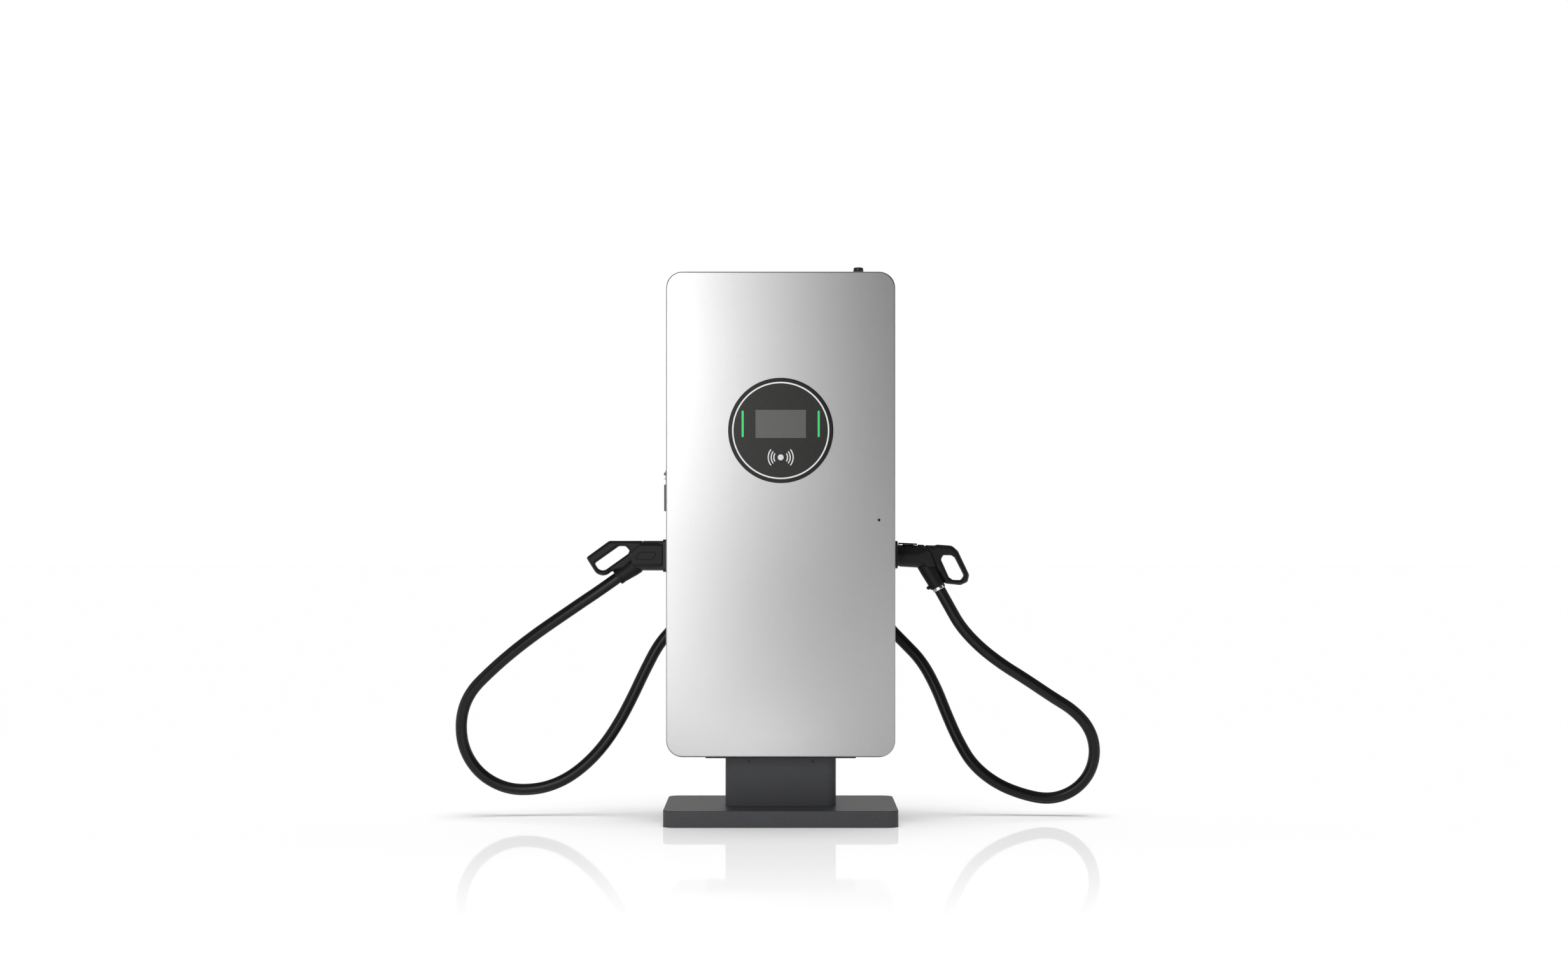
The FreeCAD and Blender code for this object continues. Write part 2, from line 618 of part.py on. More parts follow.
def make_symbol(face):
    """Raised radio-wave sign: a dot with three arcs each side."""
    line = 3.6
    thick = 0.5
    pieces = [rod("9", str(thick), ("0", f"{face}-{thick}", "symbol_high"), ALONG_Y)]
    for radius, half_tall in ((21, 12), (29, 18), (38, 24)):
        spread = math.degrees(math.asin(half_tall / radius))
        for side in (0, 180):
            arc = doc.addObject("Part::Feature", "arc")
            turn = math.radians(side)
            points = []
            for r in (radius - line / 2, radius + line / 2):
                for share in (-1, 0, 1):
                    angle = turn + math.radians(spread * share)
                    points.append(Vector(r * math.cos(angle), 0, r * math.sin(angle)))
            near = Part.Arc(points[0], points[1], points[2]).toShape()
            far = Part.Arc(points[3], points[4], points[5]).toShape()
            ends = [Part.LineSegment(points[i], points[i + 3]).toShape() for i in (0, 2)]
            outline = Part.Wire(Part.__sortEdges__([near, far] + ends))
            arc.Shape = Part.Face(outline).extrude(Vector(0, -thick, 0))
            arc.Placement = Placement(Vector(0, size(face), size("symbol_high")), UPRIGHT)
            pieces.append(arc)
    node("card_symbol", group(*pieces))


def make_lock():
    """Side lock: plate on the door's side, turning barrel with its cam, and a lever that lifts off the plate."""
    side = "-cabinet_wide/2"
    plate = box(("2", "28", "126"), (side + "-2", "-lock_set-14", "lock_high-106"))
    smooth = rounded(plate, 8, lambda e: runs_along(0)(e))
    hole = rod("8.5", "20", (side + "-10", "-lock_set", "lock_high"), ALONG_X)
    node("lock_plate", cut(smooth, hole))

    knob = taper("12", "15", "5", (side + "-7.3", "-lock_set", "lock_high"), ALONG_X)
    spindle = rod("8", "26", (side + "-4", "-lock_set", "lock_high"), ALONG_X)
    ears = [box(("5", "3", "14"), (side + "-7.3", f"-lock_set{y}", "lock_high-24")) for y in ("-9", "+6")]
    keyway = box(("6", "2", "9"), (side + "-10", "-lock_set-1", "lock_high-4.5"))
    pin_bore = rod("1.26", "30", (side + "-4.6", "-lock_set-15", "lock_high-20"), ALONG_Y)
    node("lock_barrel", cut(join(knob, spindle, *ears), keyway, pin_bore))

    lever = box(("4.5", "11.4", "86.5"), (side + "-6.9", "-lock_set-5.7", "lock_high-106"))
    soft = rounded(lever, 2, lambda e: e.CenterOfMass.x < size(side + "-6.8"))
    pin = rod("1.2", "14", (side + "-4.6", "-lock_set-7", "lock_high-20"), ALONG_Y)
    node("lock_lever", join(soft, pin))

    cam = box(("3", "58", "22"), (side + "+22", "-lock_set-10", "lock_high-11"))
    node("lock_cam", rounded(cam, 8, runs_along(0)))


# ---------------------------------------------------------------- holsters and connectors
def nose_envelope(side, grow, start_x, long):
    """The nose's outline, grown by a clearance, as a bar along X."""
    if side == "left":
        high = "left_high"
        round_top = rod(f"26+{grow}", long, (start_x, "gun_set", high + "+16"), ALONG_X)
        low = [rod(f"15+{grow}", long, (start_x, f"gun_set{y}", high + "-28"), ALONG_X) for y in ("-17", "+17")]
        block = box((long, "34", f"30+2*{grow}"), (start_x, "gun_set-17", f"{high}-43-{grow}"))
        web = box((long, f"40+2*{grow}", "30"), (start_x, f"gun_set-20-{grow}", high + "-25"))
        return join(round_top, block, web, *low)
    return rod(f"31+{grow}", long, (start_x, "gun_set", "right_high-3"), ALONG_X)


def make_holsters():
    """Flange on each side of the cabinet, and the cup behind it that takes the connector's nose."""
    plan = [("left", "-cabinet_wide/2-holster_proud", "-cabinet_wide/2+skin", 101, 88, "left_high"),
            ("right", "cabinet_wide/2", "cabinet_wide/2-skin-40", 85.5, 80, "right_high")]
    for side, flange_x, cup_x, tall, wide, high in plan:
        proud = "holster_proud" if side == "left" else "holster_proud-2"
        plate = box((proud, str(wide), str(tall)), (flange_x, f"gun_set-{wide}/2", f"{high}-{tall}/2"))
        shaped = rounded(plate, 12, runs_along(0))
        outer_x = size("-cabinet_wide/2-holster_proud") if side == "left" else size("cabinet_wide/2+holster_proud-2")
        soft = rounded(shaped, 2, lies_on(0, outer_x))
        doc.recompute()
        node(f"holster_flange_{side}", cut(soft, nose_envelope(side, 1, f"{flange_x}-5", "30")))
        cup = box(("40", "78", "98"), (cup_x, "gun_set-39", f"{high}-49"))
        hollow = nose_envelope(side, 1, cup_x + ("-3" if side == "left" else "+4"), "39")
        node(f"holster_cup_{side}", cut(rounded(cup, 6, runs_along(0)), hollow))


def outline_wire(corners):
    """A closed outline in the XZ plane from corners (x, z, radius), each corner an arc."""
    count = len(corners)
    edges = []
    ends = []
    for i, (x, z, radius) in enumerate(corners):
        here = Vector(x, 0, z)
        back = (Vector(corners[i - 1][0], 0, corners[i - 1][1]) - here).normalize()
        ahead = (Vector(corners[(i + 1) % count][0], 0, corners[(i + 1) % count][1]) - here).normalize()
        half = back.getAngle(ahead) / 2
        reach = radius / math.tan(half)
        inward = (back + ahead).normalize()
        first = here + back * reach
        last = here + ahead * reach
        middle = here + inward * (radius / math.sin(half) - radius)
        edges.append(Part.Arc(first, middle, last).toShape())
        ends.append((first, last))
    for i in range(count):
        edges.append(Part.LineSegment(ends[i][1], ends[(i + 1) % count][0]).toShape())
    return Part.Wire(Part.__sortEdges__(edges))


def slab(outline, hole, y_from, y_to, edge_radius, outer_y):
    """A half casing from an outline, with the rim of its outer face rounded."""
    face = Part.Face(outline_wire(outline))
    solid = face.extrude(Vector(0, y_to - y_from, 0))
    solid.translate(Vector(0, y_from, 0))
    rim = [e for e in solid.Edges if lies_on(1, outer_y)(e)]
    solid = solid.makeFillet(edge_radius, rim)
    if hole:
        opening = Part.Face(outline_wire(hole)).extrude(Vector(0, y_to - y_from + 20, 0))
        opening.translate(Vector(0, y_from - 10, 0))
        solid = solid.cut(opening)
        rim = [e for e in solid.Edges if lies_on(1, outer_y)(e) and inside(e.CenterOfMass, hole)]
        solid = solid.makeFillet(edge_radius * 0.8, rim)
    return solid


def inside(point, corners):
    """Whether a point lies within the box of an outline."""
    xs = [corner[0] for corner in corners]
    zs = [corner[1] for corner in corners]
    return min(xs) - 1 < point.x < max(xs) + 1 and min(zs) - 1 < point.z < max(zs) + 1


LEFT_HEAD = [(-365.3, 863.3, 4), (-448, 863.3, 20), (-467, 829, 14), (-528, 785, 8), (-524, 766, 8),
             (-443, 770.7, 8), (-365.3, 770.7, 4)]
LEFT_LOOP = [(-430, 863.3, 4), (-534, 863.3, 16), (-606, 811, 9), (-561.8, 740.1, 32), (-527, 767, 5),
             (-470, 776, 4), (-420, 800, 4)]
LEFT_HOLE = [(-575, 789.3, 9), (-502, 845.1, 12), (-481.6, 845.5, 7), (-471, 833.7, 5), (-474.8, 824.6, 6),
             (-538.5, 778, 10), (-566, 770, 8)]
RIGHT_HEAD = [(371, 855, 6), (454, 850.5, 10), (488, 846, 16), (498, 812, 12), (523, 750, 8), (513, 731, 6),
              (461, 724, 8), (433.3, 779.3, 12), (371, 782.7, 6)]
RIGHT_LOOP = [(455, 850.4, 4), (494.7, 851, 8), (533.4, 848.2, 24), (552, 832, 12), (587.5, 757, 18),
              (582, 735, 10), (560, 725, 12), (513, 730, 5), (490, 760, 4), (470, 815, 4)]
RIGHT_HOLE = [(499.3, 805, 8), (506.1, 818, 6), (531, 817.6, 8), (541, 811, 8), (569.5, 755, 8),
              (560, 741, 9), (535.7, 742, 8), (524, 750, 6)]
HEAD_HALF = 35
LOOP_HALF = 19
CASE_WALL = 4


def make_casing(side, head, loop, hole, trims):
    """Two half casings of a connector, each a hollow head with half of the finger loop."""
    middle = size("gun_set")
    centre_x = sum(c[0] for c in head) / len(head)
    centre_z = sum(c[1] for c in head) / len(head)
    for name, way in (("front", -1), ("rear", 1)):
        head_y = middle + way * HEAD_HALF
        loop_y = middle + way * LOOP_HALF
        seam = middle + way * 0.1
        block = slab(head, None, min(seam, head_y), max(seam, head_y), 10, head_y)
        ring = slab(loop, hole, min(seam, loop_y), max(seam, loop_y), 6, loop_y)
        block = block.cut(hole_tool(hole, middle))
        hollow = [(centre_x + (x - centre_x) * 0.8, centre_z + (z - centre_z) * 0.8, min(r, 6)) for x, z, r in head]
        deep = HEAD_HALF - CASE_WALL
        cavity = Part.Face(outline_wire(hollow)).extrude(Vector(0, way * deep, 0))
        cavity.translate(Vector(0, middle, 0))
        shape = block.fuse(ring).cut(cavity)
        for trim in trims:
            shape = shape.cut(trim)
        shape = shape.removeSplitter()
        casing = doc.addObject("Part::Feature", f"casing_{name}")
        casing.Shape = max(shape.Solids, key=lambda solid: solid.Volume)
        node(f"gun_{side}_{name}_shell", casing)


def hole_tool(hole, middle):
    """The finger hole as a cutting bar."""
    bar = Part.Face(outline_wire(hole)).extrude(Vector(0, 200, 0))
    bar.translate(Vector(0, middle - 100, 0))
    return bar


def collar_parts(end, heading, steps, label):
    """A turned piece on the cable's axis: steps are (distance back from the cable end, radius)."""
    axis = Vector(heading[0], 0, heading[1]).normalize()
    side = Vector(-axis.z, 0, axis.x)
    foot = Vector(end[0], size("gun_set"), end[1])
    rim = [foot + axis * along + side * radius for along, radius in steps]
    outline = Part.makePolygon([foot + axis * steps[0][0]] + rim + [foot + axis * steps[-1][0]]
                               + [foot + axis * steps[0][0]])
    thing = doc.addObject("Part::Feature", label)
    thing.Shape = Part.Face(outline).revolve(foot, axis, 360)
    return thing


def make_contacts(side, spots, start_x, long):
    """Contact pins in the nose: (y, z, radius) from the connector's middle."""
    high = f"{side}_high"
    return [rod(str(radius), long, (start_x, f"gun_set{y:+}", f"{high}{z:+}"), ALONG_X) for y, z, radius in spots]


LEFT_PINS = [(-9, 29, 3), (9, 29, 3), (-16, 16, 4), (0, 16, 4), (16, 16, 4), (-9, 3, 4), (9, 3, 4),
             (-15, -28, 7), (15, -28, 7)]
RIGHT_PINS = [(-14, -3, 6.5), (14, -3, 6.5), (0, 14, 8), (0, -20, 8)]


def make_nose(side, pins, start_x, shoulder):
    """Insulating nose with its contact chambers, and the contacts."""
    blank = join(nose_envelope(side, 0, start_x, "nose_long"), shoulder)
    deep_x = start_x + "+14" if side == "left" else start_x + "-5"
    chambers = make_contacts(side, [(y, z, r + 1) for y, z, r in pins], deep_x, "37")
    node(f"gun_{side}_nose", cut(blank, *chambers))
    pin_x = start_x + "+14" if side == "left" else start_x + "+8"
    contacts = make_contacts(side, pins, pin_x, "24")
    node(f"gun_{side}_contacts", group(*contacts))


def make_left_connector():
    """Large connector on the left: casing halves, nose, contacts and cable collar."""
    end = CABLES["left"][-1]
    back = CABLES["left"][-2]
    heading = (end[0] - back[0], end[2] - back[2])
    collar = collar_parts((end[0], end[2]), heading, [(0, 23), (4, 25), (9, 25), (10, 23.5), (52, 29)], "collar")
    node("gun_left_collar", collar)
    shoulder = box(("12", "60", "80"), ("-cabinet_wide/2-holster_proud-12.3", "gun_set-30", "left_high-40"))
    make_nose("left", LEFT_PINS, "-cabinet_wide/2-holster_proud-0.3", shoulder)
    doc.recompute()
    make_casing("left", LEFT_HEAD, LEFT_LOOP, LEFT_HOLE, [collar.Shape, nodes["gun_left_nose"].Shape])


def make_right_connector():
    """Round connector on the right: as the left one, with a cable ring and a sprung latch."""
    end = CABLES["right"][-1]
    back = CABLES["right"][-2]
    heading = (end[0] - back[0], end[2] - back[2])
    foot = (end[0], end[2])
    ring = collar_parts(foot, heading, [(0, 20.5), (1, 21.5), (9, 21.5), (10, 20.5)], "ring")
    node("gun_right_ring", ring)
    collar = collar_parts(foot, heading, [(10, 24), (13, 25.5), (34, 25.5), (60, 27)], "collar")
    node("gun_right_collar", collar)
    neck = rod("33", "16", ("cabinet_wide/2+holster_proud-1.7", "gun_set", "right_high-3"), ALONG_X)
    make_nose("right", RIGHT_PINS, "cabinet_wide/2+holster_proud-2-nose_long+0.3", neck)
    tilt = Rotation(Vector(0, 1, 0), 2.8)
    bar = box(("58", "16", "4.6"), ("366", "gun_set-8", "850.9"))
    hook = box(("3", "16", "3"), ("366", "gun_set-8", "848.6"))
    post = box(("8", "8", "12"), ("404", "gun_set-4", "840"))
    eye = rod("1.5", "24", ("408", "gun_set-12", "843"), ALONG_Y)
    latch = join(bar, hook, post, eye)
    latch.Placement = Placement(Vector(0, 0, 0), tilt, Vector(408, size("gun_set"), 843))
    node("gun_right_latch", latch)
    slot = Part.makeBox(66, 18, 8.6, Vector(362, size("gun_set") - 9, 848.2))
    well = Part.makeBox(14, 10, 18, Vector(401, size("gun_set") - 5, 834))
    turned = slot.fuse(well)
    turned.rotate(Vector(408, size("gun_set"), 843), Vector(0, 1, 0), 2.8)
    swing = Part.makeCylinder(1.56, 25, Vector(408, size("gun_set") - 12.5, 843), Vector(0, 1, 0))
    doc.recompute()
    trims = [collar.Shape, ring.Shape, nodes["gun_right_nose"].Shape, turned, swing]
    make_casing("right", RIGHT_HEAD, RIGHT_LOOP, RIGHT_HOLE, trims)


# ---------------------------------------------------------------- charging cables
# Each route runs from the rear gland, round the hanging loop, to the connector's collar.
CABLES = {
    "left": [(-305, 165, 756), (-305, 165, 720), (-310, 165, 652), (-337, 164, 590), (-386, 160, 537),
             (-430, 154, 452), (-470, 148, 366), (-512, 141, 286), (-562, 134, 212), (-622, 126, 150),
             (-690, 118, 104), (-768, 110, 80), (-860, 101, 82), (-944, 92, 128), (-996, 83, 209),
             (-1004, 74, 305), (-975, 65, 388), (-905, 57, 458), (-833, 49, 520), (-756, 42, 578),
             (-680, 36, 630), (-614, 32, 675), (-560, 30, 711), (-508, 30, 748)],
    "right": [(305, 165, 756), (305, 165, 720), (311, 165, 654), (338, 164, 594), (385, 160, 546),
              (446, 154, 484), (491, 148, 401), (524, 141, 316), (561, 134, 231), (606, 126, 156),
              (680, 118, 97), (771, 110, 62), (850, 103, 50), (921, 96, 76), (970, 89, 130),
              (988, 82, 202), (970, 75, 274), (919, 67, 332), (846, 59, 377), (766, 51, 431),
              (690, 44, 478), (619, 37, 533), (560, 32, 596), (524, 30, 660), (495, 30, 712)],
}


def make_cable(side):
    """A cable as straight runs joined by tangent arcs."""
    corners = [Vector(*point) for point in CABLES[side]]
    radii = []
    edges = []
    last = corners[0]
    for before, here, after in zip(corners, corners[1:], corners[2:]):
        back = (before - here).normalize()
        ahead = (after - here).normalize()
        half_turn = (math.pi - back.getAngle(ahead)) / 2
        shorter = min((before - here).Length, (after - here).Length)
        radius = 0.45 * shorter / math.tan(half_turn)
        reach = 0.45 * shorter
        middle = here + (back + ahead).normalize() * (radius / math.cos(half_turn) - radius)
        edges.append(Part.LineSegment(last, here + back * reach).toShape())
        edges.append(Part.Arc(here + back * reach, middle, here + ahead * reach).toShape())
        last = here + ahead * reach
        radii.append(radius)
    edges.append(Part.LineSegment(last, corners[-1]).toShape())
    path = Part.Wire(edges)
    radius = size("cable_round")
    ring = Part.Circle(corners[0], corners[1] - corners[0], radius).toShape()
    tube = path.makePipeShell([Part.Wire(ring)], True, False)
    thing = doc.addObject("Part::Feature", f"cable_{side}")
    thing.Shape = tube
    expected = math.pi * radius ** 2 * path.Length
    print(f"cable {side}: {path.Length:.0f} mm, volume share {tube.Volume / expected:.4f}, radii",
          [round(r) for r in radii])
    node(f"charging_cable_{side}", thing)


# ---------------------------------------------------------------- electrics inside the cabinet
def make_electrics():
    """Mounting plate, power modules, rail with switchgear, contactors, control board and fans."""
    plate = box(("640", "3", "cabinet_tall-120"), ("-320", "84", "cabinet_low+60"))
    openings = [box(("170", "10", "170"), ("-85", "80", f"{fan}-85")) for fan in ("fan_low", "fan_high")]
    node("mounting_plate", cut(plate, *openings))

    modules = []
    for high in ("1010", "1220", "1430"):
        case = box(("460", "80", "190"), ("-230", "3.7", high))
        grip = [box(("6", "14", "90"), (f"{x}-3", "-10", f"{high}+50")) for x in ("-190", "190")]
        modules.append(join(rounded(case, 4, runs_along(2)), *grip))
    node("power_modules", group(*modules))

    board = box(("240", "1.6", "120"), ("-250", "62", "680"))
    studs = [rod("3", "20.4", (x, "63.6", z), ALONG_Y) for x in ("-242", "-18") for z in ("688", "792")]
    chips = [box(("40", "8", "40"), ("-220", "54", "720")), box(("30", "14", "70"), ("-120", "48", "705"))]
    node("control_board", join(board, *studs, *chips))

    rail = [box(("560", "1.5", "35"), ("-280", "74", "560")), box(("560", "8.5", "20"), ("-280", "75.5", "567.5"))]
    node("din_rail", join(*rail))
    breaker = box(("105", "70", "130"), ("-270", "3.7", "512.5"))
    slot = box(("26", "24", "44"), ("-230.5", "0", "555.5"))
    node("main_breaker", cut(rounded(breaker, 3, runs_along(1)), slot))
    arm = box(("20", "30", "8"), ("-227.5", "-12", "573.5"))
    hub = rod("6", "20", ("-227.5", "14", "577.5"), ALONG_X)
    node("breaker_lever", join(arm, hub))
    meter = box(("72", "66", "90"), ("-140", "7.7", "532.5"))
    screen = box(("40", "4", "20"), ("-124", "5", "585"))
    node("energy_meter", cut(rounded(meter, 3, runs_along(1)), screen))
    blocks = [box(("16", "50", "70"), (str(x), "23.7", "542.5")) for x in range(-40, 130, 17)]
    node("terminal_block", group(*blocks))
    cans = []
    for x in (-210, -70, 70, 210):
        foot = box(("70", "6", "70"), (f"{x}-35", "77.7", "350"))
        can = rod("30", "62", (str(x), "15.7", "385"), ALONG_Y)
        posts = [rod("5", "10", (f"{x}{dx}", "5.7", "385"), ALONG_Y) for dx in ("-15", "+15")]
        cans.append(join(foot, can, *posts))
    node("dc_contactors", group(*cans))

    frames = []
    for fan in ("fan_low", "fan_high"):
        frame = box(("fan_side", "fan_deep", "fan_side"), ("-fan_side/2", "97", f"{fan}-fan_side/2"))
        bore = rod("fan_round+4", "60", ("0", "80", fan), ALONG_Y)
        hub = rod("22", "3", ("0", "118", fan), ALONG_Y)
        arms = [box(("fan_side-4", "3", "6"), ("-fan_side/2+2", "118", f"{fan}-3")),
                box(("6", "3", "fan_side-4"), ("-3", "118", f"{fan}-fan_side/2+2"))]
        frames.append(join(cut(frame, bore), hub, *arms))
    node("fan_frames", group(*frames))
    for name, fan in (("lower", "fan_low"), ("upper", "fan_high")):
        hub = rod("24", "16", ("0", "100", fan), ALONG_Y)
        axis = Vector(0, 108, size(fan))
        blades = []
        for i in range(7):
            blade = doc.addObject("Part::Box", "blade")
            blade.setExpression("Length", bound("fan_round-21"))
            blade.Width = 2
            blade.Height = 20
            centred = Placement(Vector(0, -1, -10), UPRIGHT)
            pitch = Placement(Vector(20, 0, 0), Rotation(Vector(1, 0, 0), 55)) * centred
            blade.Placement = Placement(axis, Rotation(Vector(0, 1, 0), i * 360 / 7)) * pitch
            blades.append(blade)
        node(f"fan_rotor_{name}", join(hub, *blades))


def check_and_write():
    """Stop on any failed object or shape, then write one STEP file per sub-part."""
    doc.recompute()
    for thing in doc.Objects:
        if "Invalid" in thing.State or "Error" in thing.State:
            raise ValueError(f"{thing.Label} failed: {thing.State}")
    os.makedirs("parts", exist_ok=True)
    for label, thing in nodes.items():
        shape = thing.Shape
        if shape.isNull() or not shape.isValid() or shape.Volume <= 0:
            raise ValueError(f"{label} has no valid shape")
        shape.exportStep(f"parts/{label}.step")
    print(len(nodes), "sub-parts written")


make_base()
make_column()
make_cabinet()
make_rear()
make_antenna()
make_door()
make_hinges()
make_display()
make_lock()
make_holsters()
make_left_connector()
make_right_connector()
make_cable("left")
make_cable("right")
make_electrics()
check_and_write()
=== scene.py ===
import json
import math
import bmesh
import bpy
import numpy as np
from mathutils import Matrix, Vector
from mathutils.geometry import delaunay_2d_cdt


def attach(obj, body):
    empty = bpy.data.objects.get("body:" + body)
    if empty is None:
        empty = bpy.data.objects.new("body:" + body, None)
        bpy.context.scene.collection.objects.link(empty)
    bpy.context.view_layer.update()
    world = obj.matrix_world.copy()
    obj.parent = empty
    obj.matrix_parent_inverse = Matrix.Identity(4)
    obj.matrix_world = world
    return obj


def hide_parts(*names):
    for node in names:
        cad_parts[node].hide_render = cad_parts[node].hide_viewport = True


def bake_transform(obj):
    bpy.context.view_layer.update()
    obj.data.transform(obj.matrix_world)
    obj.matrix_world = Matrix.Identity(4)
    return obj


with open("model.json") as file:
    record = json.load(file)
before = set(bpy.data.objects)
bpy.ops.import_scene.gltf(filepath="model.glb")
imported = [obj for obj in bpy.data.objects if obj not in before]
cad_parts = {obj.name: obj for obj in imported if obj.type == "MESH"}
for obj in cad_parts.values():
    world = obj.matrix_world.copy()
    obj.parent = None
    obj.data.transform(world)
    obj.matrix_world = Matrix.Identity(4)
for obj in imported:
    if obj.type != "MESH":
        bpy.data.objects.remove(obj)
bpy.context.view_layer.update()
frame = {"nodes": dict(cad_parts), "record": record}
NODES = frame["nodes"]

# ---------------------------------------------------------------- camera
# Fitted to the photo. The lens and the sensor are in millimetres, the shifts in widths of the frame.
CAMERA_PLACE = (0, -7.625, 0.882)
LENS = 56.4253247
SENSOR_WIDE = 36
SHIFT_RIGHT, SHIFT_UP = 0.0021103896, 0.0371347403
camera_data = bpy.data.cameras.new("camera")
camera = bpy.data.objects.new("camera", camera_data)
bpy.context.scene.collection.objects.link(camera)
camera.location = CAMERA_PLACE
camera.rotation_euler = (math.pi / 2, 0, 0)
camera_data.sensor_width = SENSOR_WIDE
camera_data.lens = LENS
camera_data.shift_x = SHIFT_RIGHT
camera_data.shift_y = SHIFT_UP
camera_data.clip_end = 100
bpy.context.scene.camera = camera
bpy.context.scene.view_settings.view_transform = "Standard"


# ---------------------------------------------------------------- materials
CLOUD_SCALE = 5
NOISE_LOW, NOISE_HIGH = 0.3, 0.7
RELIEF_DEPTH = 0.0004


def new_material(name):
    mat = bpy.data.materials.new(name)
    mat.use_nodes = True
    tree = mat.node_tree
    shader = tree.nodes["Principled BSDF"]
    return mat, tree, shader


def finish(name, color, rough, metallic=0.0, grain=220.0, vary=0.12, cloud=0.0, bump=0.05,
           bump_size=None, rough_vary=0.08, specular=0.5, stretch=(1, 1, 1), emit=None, emit_strength=0.0):
    """A painted, moulded or metal finish: fine grain and broad clouding in colour, roughness and relief."""
    mat, tree, shader = new_material(name)
    nodes, links = tree.nodes, tree.links
    place = nodes.new("ShaderNodeTexCoord")
    mapping = nodes.new("ShaderNodeMapping")
    mapping.inputs["Scale"].default_value = stretch
    links.new(place.outputs["Object"], mapping.inputs["Vector"])

    def noise(scale, detail, vector):
        node = nodes.new("ShaderNodeTexNoise")
        node.inputs["Scale"].default_value = scale
        node.inputs["Detail"].default_value = detail
        links.new(vector, node.inputs["Vector"])
        return node.outputs["Fac"]

    def ramp(source, low, high):
        unit = nodes.new("ShaderNodeMapRange")
        unit.inputs["From Min"].default_value = NOISE_LOW
        unit.inputs["From Max"].default_value = NOISE_HIGH
        unit.inputs["To Min"].default_value = low
        unit.inputs["To Max"].default_value = high
        links.new(source, unit.inputs["Value"])
        return unit.outputs["Result"]

    def tint(factor):
        return tuple(min(1.0, c * factor) for c in color) + (1,)

    fine = noise(grain, 3, mapping.outputs["Vector"])
    mix = nodes.new("ShaderNodeMix")
    mix.data_type = "RGBA"
    mix.inputs["A"].default_value = tint(1 - vary)
    mix.inputs["B"].default_value = tint(1 + vary)
    links.new(ramp(fine, 0, 1), mix.inputs["Factor"])
    out = mix.outputs["Result"]
    if cloud:
        second = nodes.new("ShaderNodeMix")
        second.data_type = "RGBA"
        second.blend_type = "MULTIPLY"
        second.inputs["B"].default_value = (1 - cloud, 1 - cloud, 1 - cloud, 1)
        links.new(ramp(noise(CLOUD_SCALE, 2, place.outputs["Object"]), 0, 1), second.inputs["Factor"])
        links.new(out, second.inputs["A"])
        out = second.outputs["Result"]
    links.new(out, shader.inputs["Base Color"])
    links.new(ramp(fine, rough - rough_vary / 2, rough + rough_vary / 2), shader.inputs["Roughness"])
    shader.inputs["Metallic"].default_value = metallic
    shader.inputs["Specular IOR Level"].default_value = specular
    if bump:
        relief = nodes.new("ShaderNodeBump")
        relief.inputs["Strength"].default_value = bump
        relief.inputs["Distance"].default_value = RELIEF_DEPTH
        height = noise(bump_size, 4, mapping.outputs["Vector"]) if bump_size else fine
        links.new(height, relief.inputs["Height"])
        links.new(relief.outputs["Normal"], shader.inputs["Normal"])
    if emit:
        shader.inputs["Emission Color"].default_value = tuple(emit) + (1,)
        shader.inputs["Emission Strength"].default_value = emit_strength
    return mat


